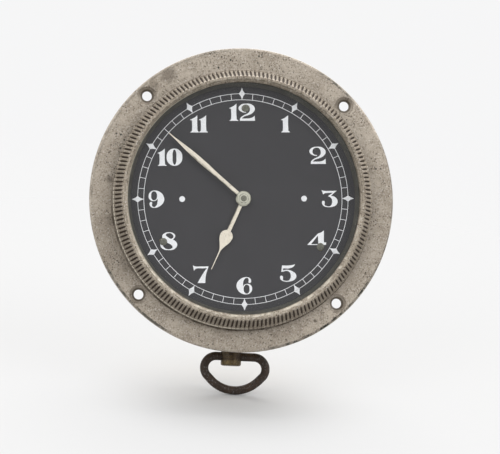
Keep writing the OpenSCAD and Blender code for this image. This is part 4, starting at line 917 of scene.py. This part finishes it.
def makeTrack():
    s = dialSize
    bakePiece("minute_track", makeTrackTree(), {
        "Marks": s["marks"], "Stars": s["stars"], "Outer": s["outerTrack"], "Inner": s["innerTrack"],
        "Line": s["line"], "Star Length": s["starLength"], "Star Width": s["starWidth"],
        "Star Waist": s["starWaist"], "Paint": s["paint"], "Level": -dialFront, "Turn": s["turn"],
    }, "printWhite", "cream_paint")
    half = s["line"] / 2
    low = dialFront + s["paint"] / 2
    high = dialFront - s["paint"]
    for name, radius in (("outer_track_line", s["outerTrack"]), ("inner_track_line", s["innerTrack"])):
        profile = [(radius - half, low), (radius + half, low), (radius + half, high), (radius - half, high)]
        mesh = newMesh(name, *turnedShape(profile, s["lineSteps"]))
        mendMesh(mesh)
        addPiece(name, mesh, "printWhite", "cream_paint")


# Numerals, drawn on a square of 100 by 100, with True at a sharp corner
glyphs = {
    "0": {"width": 91, "loops": [
        [(45.5, 100), (80, 84), (91, 50), (80, 16), (45.5, 0), (11, 16), (0, 50), (11, 84)],
        [(45.5, 94), (37, 82), (34.5, 50), (37, 18), (45.5, 6), (54, 18), (56.5, 50), (54, 82)]]},
    "1": {"width": 50, "loops": [
        [(0, 75, True), (12, 80), (28, 89), (41, 100, True), (41, 20), (43.5, 7), (50, 3.5, True),
         (50, 0, True), (0, 0, True), (0, 3.5, True), (7, 7), (9.5, 20), (9.5, 68, True), (6, 71.5),
         (0, 71, True)]]},
    "2": {"width": 97, "loops": [
        [(46, 47, True), (26, 49.5), (2, 70), (14, 92), (45, 100), (80, 94), (97, 70), (84, 46),
         (60, 33.5), (34, 25), (20, 14, True), (45, 13.5), (70, 15.5), (86, 22), (95.5, 31, True),
         (97, 0, True), (9, 0, True), (9.5, 12, True), (14, 19), (32, 32), (52, 42), (65, 54), (68, 71),
         (60, 89), (41, 94.5), (25, 86), (20, 70), (28, 56), (46, 51.5, True)]]},
    "3": {"width": 93, "loops": [
        [(0, 100, True), (12, 95.5), (50, 94.5), (88, 95.5, True), (56, 66, True), (76, 60), (93, 37),
         (86, 14), (62, 1.5), (40, 0), (14, 6), (2, 22), (3, 33), (9.5, 37.5), (17, 33), (18, 23),
         (17, 13), (28, 6.5), (43, 4.5), (56, 13), (61, 34), (56, 52), (37, 64, True), (66, 83.5, True),
         (35, 82.5), (17, 79.5), (10, 73, True)]]},
    "4": {"width": 108, "loops": [
        [(96, 100, True), (95, 36, True), (99, 30), (108, 32, True), (108, 16.5, True), (95, 16.5, True),
         (95, 0, True), (62.5, 0, True), (62.5, 16.5, True), (0.5, 16.5, True), (0, 19.5, True),
         (61, 82, True), (78, 88)],
        [(61, 71, True), (20, 21, True), (62.5, 21, True)]]},
    "5": {"width": 95, "loops": [
        [(13, 94, True), (35, 93), (70, 95), (89.5, 100, True), (80, 87), (58, 77), (33, 76),
         (21, 77.5, True), (17, 65, True), (42, 68.5), (72, 60), (95, 37), (88, 14), (60, 1), (31, 0),
         (7, 9), (0.5, 23), (3, 32.5), (9.5, 34.5), (17, 29), (17.5, 19), (17, 11), (28, 5.5), (45.5, 5),
         (58, 14), (63, 35), (56, 54), (38, 62), (21, 58, True), (8, 56, True)]]},
    "6": {"width": 90, "loops": [
        [(38, 47, True), (47, 57), (62, 61), (83, 53), (90, 33), (81, 10), (57, 0), (22, 10), (3, 34),
         (1, 60), (19, 86), (53, 100), (76, 95.5), (84.5, 82), (83, 70), (76, 65.5), (69.5, 71), (71, 81),
         (69.5, 90), (58.5, 95.5), (45, 86), (38.8, 67)],
        [(58, 57), (71, 50), (75, 31), (71, 12), (59, 4.5), (46, 12), (41, 31), (46, 49)]]},
    "7": {"width": 90, "loops": [
        [(0, 103, True), (12, 97), (45, 95.5), (90, 96, True), (89.5, 90, True), (79, 62), (72.5, 28),
         (71, 0, True), (26, 0, True), (48, 38), (66, 66), (81, 86, True), (50, 84.5), (22, 84), (12, 79),
         (6.5, 70.5, True)]]},
    "8": {"width": 97, "loops": [
        [(47.5, 103), (77, 96), (86.5, 81), (79, 67), (73, 61, True), (91, 47), (96.5, 29), (82, 7),
         (47.5, 0), (14, 7), (0, 26), (5, 45), (22, 57, True), (12, 70), (13, 87), (28, 99)],
        [(51, 98), (69, 91), (75, 77), (64, 65.5), (44, 74.5), (32, 88)],
        [(26, 49), (43, 41), (62, 29.5), (70, 17), (61, 8), (42, 5), (23, 13), (15, 29)]]},
}
nineLoops = [[(90 - x, 100 - y, *corner) for x, y, *corner in loop] for loop in glyphs["6"]["loops"]]
glyphs["9"] = {"width": 90, "loops": nineLoops}


def drawDigit(curve, loops, left, bottom, scale):
    for loop in loops:
        spline = curve.splines.new("BEZIER")
        spline.bezier_points.add(len(loop) - 1)
        spline.use_cyclic_u = True
        for point, (x, y, *corner) in zip(spline.bezier_points, loop):
            point.co = (left + x * scale, bottom + y * scale, 0)
            point.handle_left_type = "VECTOR" if corner else "AUTO"
            point.handle_right_type = "VECTOR" if corner else "AUTO"


def makeNumerals():
    s = dialSize
    curve = bpy.data.curves.new("numeralCurve", "CURVE")
    curve.dimensions = "2D"
    curve.fill_mode = "BOTH"
    curve.resolution_u = s["curveSteps"]
    curve.extrude = s["paint"] / 2
    scale = s["numeralHeight"] / 100
    for hour in range(1, 13):
        digits = str(hour)
        aside, above = s["nudge"].get(hour, (0, 0))
        width = sum(glyphs[d]["width"] for d in digits) + s["numeralGap"] * (len(digits) - 1)
        angle = math.radians(90 - 30 * hour)
        left = s["numeralCircle"] * math.cos(angle) - width * scale / 2 + aside
        bottom = s["numeralCircle"] * math.sin(angle) - s["numeralHeight"] / 2 + above
        for digit in digits:
            drawDigit(curve, glyphs[digit]["loops"], left, bottom, scale)
            left += (glyphs[digit]["width"] + s["numeralGap"]) * scale
    holder = bpy.data.objects.new("numeralHolder", curve)
    bpy.context.scene.collection.objects.link(holder)
    mesh = bakeMesh(holder)
    spin = Matrix.Rotation(math.radians(s["turn"]), 4, "Z")
    lift = Matrix.Translation((0, 0, -dialFront + s["paint"] / 2))
    upright = Matrix.Rotation(math.radians(90), 4, "X")
    mesh.transform(Matrix.Diagonal((mm, mm, mm, 1)) @ upright @ lift @ spin)
    mendMesh(mesh, gap=s["weld"])
    addPiece("numerals", mesh, "printWhite", "cream_paint", sharpAngle=30)


def makeDots():
    s = dialSize
    steps = s["dotSteps"]
    radius = s["dotRadius"]
    angle = math.radians(s["turn"])
    points = []
    faces = []
    for side in (1, -1):
        across = side * s["dotCircle"] * math.cos(angle)
        above = side * s["dotCircle"] * math.sin(angle)
        start = len(points)
        for level in (dialFront + s["paint"] / 2, dialFront - s["paint"]):
            for i in range(steps):
                a = 2 * math.pi * i / steps
                points.append((across + radius * math.cos(a), level, above + radius * math.sin(a)))
        for i in range(steps):
            j = (i + 1) % steps
            faces.append((start + i, start + j, start + steps + j, start + steps + i))
        faces.append(tuple(range(start, start + steps)))
        faces.append(tuple(range(start + steps, start + 2 * steps)))
    mesh = newMesh("dial_dots", points, faces)
    mendMesh(mesh)
    addPiece("dial_dots", mesh, "printWhite", "cream_paint")


makeTrack()
makeNumerals()
makeDots()
print("dial printed")


# Dial screws

screwSize = {
    "headRadius": 1.22, "rimHeight": 0.22, "rimShare": 0.6, "rimBevel": 0.08, "domeInset": 0.16,
    "domeSink": 0.05, "domeRise": 0.12, "domeRows": 8, "slot": 0.26, "shankRadius": 0.4, "shankLength": 1.0,
    "around": 36, "weld": 0.0001,
    "circle": 29.7, "ways": (90.9, -29.1, -149.1), "slotTurns": (8.0, 100.0, 50.0),
}


def spinProfile(profile, steps):  # (radius, height) turned about the screw's own axis
    work = bmesh.new()
    corners = [work.verts.new((r, 0, h)) for r, h in profile]
    edges = [work.edges.new(pair) for pair in zip(corners, corners[1:])]
    bmesh.ops.spin(work, geom=corners + edges, cent=(0, 0, 0), axis=(0, 0, 1), angle=2 * math.pi,
                   steps=steps, use_merge=True)
    bmesh.ops.remove_doubles(work, verts=work.verts, dist=screwSize["weld"])
    return work


def makeScrewMesh():
    s = screwSize
    rim = s["headRadius"]
    shank = s["shankRadius"]
    work = spinProfile([
        (0, -s["shankLength"]), (shank, -s["shankLength"]), (shank, 0), (rim, 0),
        (rim, s["rimHeight"] * s["rimShare"]), (rim - s["rimBevel"], s["rimHeight"]), (0, s["rimHeight"]),
    ], s["around"])
    domeRadius = rim - s["domeInset"]
    domeFoot = s["rimHeight"] - s["domeSink"]
    dome = [(0, domeFoot), (domeRadius, domeFoot)]
    for i in range(s["domeRows"] + 1):
        a = math.radians(90 * i / s["domeRows"])
        dome.append((domeRadius * math.cos(a), s["rimHeight"] + s["domeRise"] * math.sin(a)))
    for side in (1, -1):  # the slot parts the dome in two
        half = spinProfile(dome, s["around"])
        bmesh.ops.bisect_plane(half, geom=half.verts[:] + half.edges[:] + half.faces[:],
                               plane_co=(0, side * s["slot"] / 2, 0), plane_no=(0, side, 0), clear_inner=True)
        bmesh.ops.holes_fill(half, edges=[e for e in half.edges if e.is_boundary], sides=0)
        piece = bpy.data.meshes.new("domeHalf")
        half.to_mesh(piece)
        half.free()
        work.from_mesh(piece)
    bmesh.ops.recalc_face_normals(work, faces=work.faces)
    mesh = bpy.data.meshes.new("screwShape")
    work.to_mesh(mesh)
    work.free()
    return mesh


def makeScrewTree(shape):
    tree, given, out = newTree("dialScrews", "GeometryNodeTree", [
        ("Geometry", "Geometry"), ("Level", "Float"), ("Material", "Material")], [("Geometry", "Geometry")])
    info = addNode(tree, "GeometryNodeObjectInfo", {"Object": shape})
    spin = addNode(tree, "GeometryNodeInputNamedAttribute", {"Name": "slotTurn"}, data_type="FLOAT")
    placed = addNode(tree, "GeometryNodeInstanceOnPoints", {
        "Points": given["Geometry"], "Instance": info.outputs["Geometry"],
        "Rotation": joinAxes(tree, z=spin.outputs[0])})
    endTree(tree, standUp(tree, placed.outputs[0], given["Level"]), out, given["Material"])
    return tree


def makeDialScrews():
    s = screwSize
    base = bpy.data.meshes.new("screwPlaces")
    ways = [math.radians(way) for way in s["ways"]]
    base.from_pydata([(s["circle"] * math.cos(a), s["circle"] * math.sin(a), 0) for a in ways], [], [])
    turns = base.attributes.new("slotTurn", "FLOAT", "POINT")
    turns.data.foreach_set("value", [math.radians(t) for t in s["slotTurns"]])
    shape = bpy.data.objects.new("screwShape", makeScrewMesh())
    bpy.context.scene.collection.objects.link(shape)
    screws = bakePiece("dial_screw_heads", makeScrewTree(shape), {"Level": -dialFront},
                       "screwBlack", "dial_black", base=base, sharpAngle=40)
    bpy.data.objects.remove(shape)
    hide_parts("dial_screws")


makeDialScrews()
print("dial screws made")


# Return spring of the stem, which is pressed shut when the stem is pulled out

springSize = {"wireRadius": 0.16, "turns": 5.0, "travel": 2.2, "aroundWire": 10, "perTurn": 24}


def makeSpringTree():
    s = springSize
    tree, given, out = newTree("returnSpring", "GeometryNodeTree", [
        ("Coil Radius", "Float"), ("Wire Radius", "Float", s["wireRadius"]), ("Height", "Float"),
        ("Turns", "Float", s["turns"]), ("Low", "Float"), ("Depth", "Float"), ("Material", "Material"),
    ], [("Geometry", "Geometry")])
    path = addNode(tree, "GeometryNodeCurveSpiral", {
        "Resolution": s["perTurn"], "Rotations": given["Turns"], "Start Radius": given["Coil Radius"],
        "End Radius": given["Coil Radius"], "Height": given["Height"]})
    ring = addNode(tree, "GeometryNodeCurvePrimitiveCircle", {
        "Resolution": s["aroundWire"], "Radius": given["Wire Radius"]})
    wire = addNode(tree, "GeometryNodeCurveToMesh", {
        "Curve": path.outputs[0], "Profile Curve": ring.outputs["Curve"], "Fill Caps": True})
    place = joinAxes(tree, y=given["Depth"], z=given["Low"])
    moved = addNode(tree, "GeometryNodeTransform", {"Geometry": wire.outputs[0], "Translation": place})
    scaled = addNode(tree, "GeometryNodeTransform", {"Geometry": moved.outputs[0], "Scale": (mm, mm, mm)})
    endTree(tree, scaled.outputs[0], out, given["Material"])
    return tree


def makeSpring():
    s = springSize
    low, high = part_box("stem_spring")
    length = (high.z - low.z) / mm
    depth = (low.y + high.y) / 2 / mm
    wire = s["wireRadius"]
    spring = bakePiece("return_spring", makeSpringTree(), {
        "Coil Radius": (high.x - low.x) / 2 / mm - wire, "Wire Radius": wire, "Height": length - 2 * wire,
        "Turns": s["turns"], "Low": low.z / mm + wire, "Depth": depth,
    }, "bluedSteel", "blued_steel", sharpAngle=60)
    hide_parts("stem_spring")
    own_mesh(spring)


makeSpring()
print("spring made")


# Handle loop

loopSize = {
    "wireRadius": 1.4, "halfWidth": 10.2, "height": 11.15, "shoulder": 3.9, "shift": 1.4, "aroundWire": 24,
    "turnIn": -45, "shoulderSteps": 24, "bottomSteps": 20,
}


def loopPath():  # the right half from the top of the bar, a shoulder and half the bottom arc, then its mirror
    s = loopSize
    barHalf = s["halfWidth"] - s["shoulder"]
    shoulder = arc((barHalf, -s["shoulder"]), s["shoulder"], 90, s["turnIn"], s["shoulderSteps"])
    corner = shoulder[-1]
    bottomRadius = (corner[0] - corner[1] - s["height"]) / (math.sqrt(2) - 1)
    bottom = arc((0, bottomRadius - s["height"]), bottomRadius, s["turnIn"], -90, s["bottomSteps"])
    half = shoulder[:-1] + bottom
    return half + [(-x, z) for x, z in reversed(half[:-1])]


def makeLoopTree():
    s = loopSize
    tree, given, out = newTree("wireLoop", "GeometryNodeTree", [
        ("Geometry", "Geometry"), ("Wire Radius", "Float", s["wireRadius"]),
        ("Around", "Int", s["aroundWire"]), ("Material", "Material"),
    ], [("Geometry", "Geometry")])
    curve = addNode(tree, "GeometryNodeMeshToCurve", {0: given["Geometry"]})
    ring = addNode(tree, "GeometryNodeCurvePrimitiveCircle", {
        "Resolution": given["Around"], "Radius": product(tree, given["Wire Radius"], mm)})
    wire = addNode(tree, "GeometryNodeCurveToMesh", {0: curve.outputs[0], 1: ring.outputs[0]})
    endTree(tree, wire.outputs[0], out, given["Material"])
    return tree


def makeLoop():
    s = loopSize
    low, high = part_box("handle_loop")
    depth = (low.y + high.y) / 2
    top = high.z - s["wireRadius"] * mm
    path = loopPath()
    base = bpy.data.meshes.new("loopLine")
    base.from_pydata([((x + s["shift"]) * mm, depth, top + z * mm) for x, z in path],
                     [(i, (i + 1) % len(path)) for i in range(len(path))], [])
    loop = bakePiece("wire_loop", makeLoopTree(), {"Wire Radius": s["wireRadius"], "Around": s["aroundWire"]},
                     "loopBronze", "dark_bronze", base=base, body="loop", sharpAngle=60)
    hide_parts("handle_loop")


makeLoop()
print("loop made")


# Floor, world and lamps

stage = {
    "lean": 20.0,  # the clock leans back this far from the floor's upright
    "floorRadius": 420, "floorSteps": 96, "floorGap": 0.1, "fadeStart": 150, "fadeEnd": 400,
    "paper": 0.922, "paperBlue": 1.005, "floorGrey": 0.51, "bounce": 0.45,
    "glowNear": 0.1, "glowFar": 0.7, "glowStart": 6, "glowEnd": 55,  # the floor glows less near the loop
    "skyHigh": 1.0, "skyLow": 0.3, "skyHeights": (-0.3, 0.75),
    "room": 0.3, "roomWay": (0.1, -0.99, 0.085), "roomEdge": (0.80, 0.97),  # the dim room behind the camera
}
lamps = {
    "back": {"way": (0.10, 0.25, 0.96), "angle": 50, "power": 2.6},
    "left": {"way": (-0.6, -0.75, 0.3), "angle": 40, "power": 0.85},
    "right": {"way": (0.66, -0.66, 0.36), "angle": 40, "power": 1.05},
}


def grey(level):
    return rgba((level, level, level))


def seenBy(tree, *rays):
    path = addNode(tree, "ShaderNodeLightPath")
    return largest(tree, *[path.outputs["Is " + ray + " Ray"] for ray in rays])


def floorMaterial():
    s = stage
    material = bpy.data.materials.new("paleFloor")
    material.use_nodes = True
    tree = material.node_tree
    tree.nodes.clear()
    seen = seenBy(tree, "Camera", "Glossy", "Transmission")
    plain = addNode(tree, "ShaderNodeBsdfDiffuse", {
        "Color": blendColour(tree, seen, grey(s["bounce"]), grey(s["floorGrey"]))})
    glow = addNode(tree, "ShaderNodeEmission", {"Color": grey(s["paper"])})
    away = measure(tree, "LENGTH", addNode(tree, "ShaderNodeTexCoord").outputs["Object"])
    glowShare = softStep(tree, away, s["glowStart"] * mm, s["glowEnd"] * mm, s["glowNear"], s["glowFar"])
    lit = addNode(tree, "ShaderNodeMixShader", {
        0: product(tree, seen, glowShare), 1: plain.outputs[0], 2: glow.outputs[0]})
    shown = softStep(tree, away, s["fadeStart"] * mm, s["fadeEnd"] * mm, 1.0, 0.0)
    front = compute(tree, "SUBTRACT", 1.0, addNode(tree, "ShaderNodeNewGeometry").outputs["Backfacing"])
    clear = addNode(tree, "ShaderNodeBsdfTransparent")
    result = addNode(tree, "ShaderNodeMixShader", {
        0: product(tree, shown, front), 1: clear.outputs[0], 2: lit.outputs[0]})
    addNode(tree, "ShaderNodeOutputMaterial", {"Surface": result.outputs[0]})
    return material


def makeFloor():  # it touches the loop from below, and its origin is where they meet
    s = stage
    lean = math.radians(s["lean"])
    up = Vector((0, -math.sin(lean), math.cos(lean)))
    low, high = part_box("handle_loop")
    wire = loopSize["wireRadius"] * mm
    lowest = Vector(((low.x + high.x) / 2, (low.y + high.y) / 2, low.z + wire))
    touch = lowest - up * (wire + s["floorGap"] * mm)
    mesh = bpy.data.meshes.new("floor")
    work = bmesh.new()
    bmesh.ops.create_circle(work, cap_ends=True, segments=s["floorSteps"], radius=s["floorRadius"] * mm)
    work.to_mesh(mesh)
    work.free()
    mesh.materials.append(floorMaterial())
    floor = bpy.data.objects.new("floor", mesh)
    floor.matrix_world = Matrix.Translation(touch) @ Matrix.Rotation(lean, 4, "X")
    bpy.context.scene.collection.objects.link(floor)


def makeWorld():
    s = stage
    world = bpy.data.worlds.new("studio")
    bpy.context.scene.world = world
    world.use_nodes = True
    tree = world.node_tree
    tree.nodes.clear()
    vector = addNode(tree, "ShaderNodeTexCoord").outputs["Generated"]
    height = softStep(tree, axesOf(tree, vector)[2], *s["skyHeights"])
    sky = blendColour(tree, height, grey(s["skyLow"]), grey(s["skyHigh"]))
    behind = softStep(tree, measure(tree, "DOT_PRODUCT", vector, s["roomWay"]), *s["roomEdge"])
    sky = blendColour(tree, behind, sky, grey(s["room"]))
    paper = rgba((s["paper"], s["paper"], s["paper"] * s["paperBlue"]))
    shown = blendColour(tree, seenBy(tree, "Camera", "Transmission"), sky, paper)
    light = addNode(tree, "ShaderNodeBackground", {"Color": shown})
    addNode(tree, "ShaderNodeOutputWorld", {"Surface": light.outputs[0]})


def makeLamps():
    for name, lamp in lamps.items():
        data = bpy.data.lights.new(name, "SUN")
        data.angle = math.radians(lamp["angle"])
        data.energy = lamp["power"]
        light = bpy.data.objects.new(name, data)
        way = Vector(lamp["way"]).normalized()
        light.matrix_world = Matrix.Translation(way) @ way.to_track_quat("Z", "Y").to_matrix().to_4x4()
        bpy.context.scene.collection.objects.link(light)


makeFloor()
makeWorld()
makeLamps()
print("stage lit")
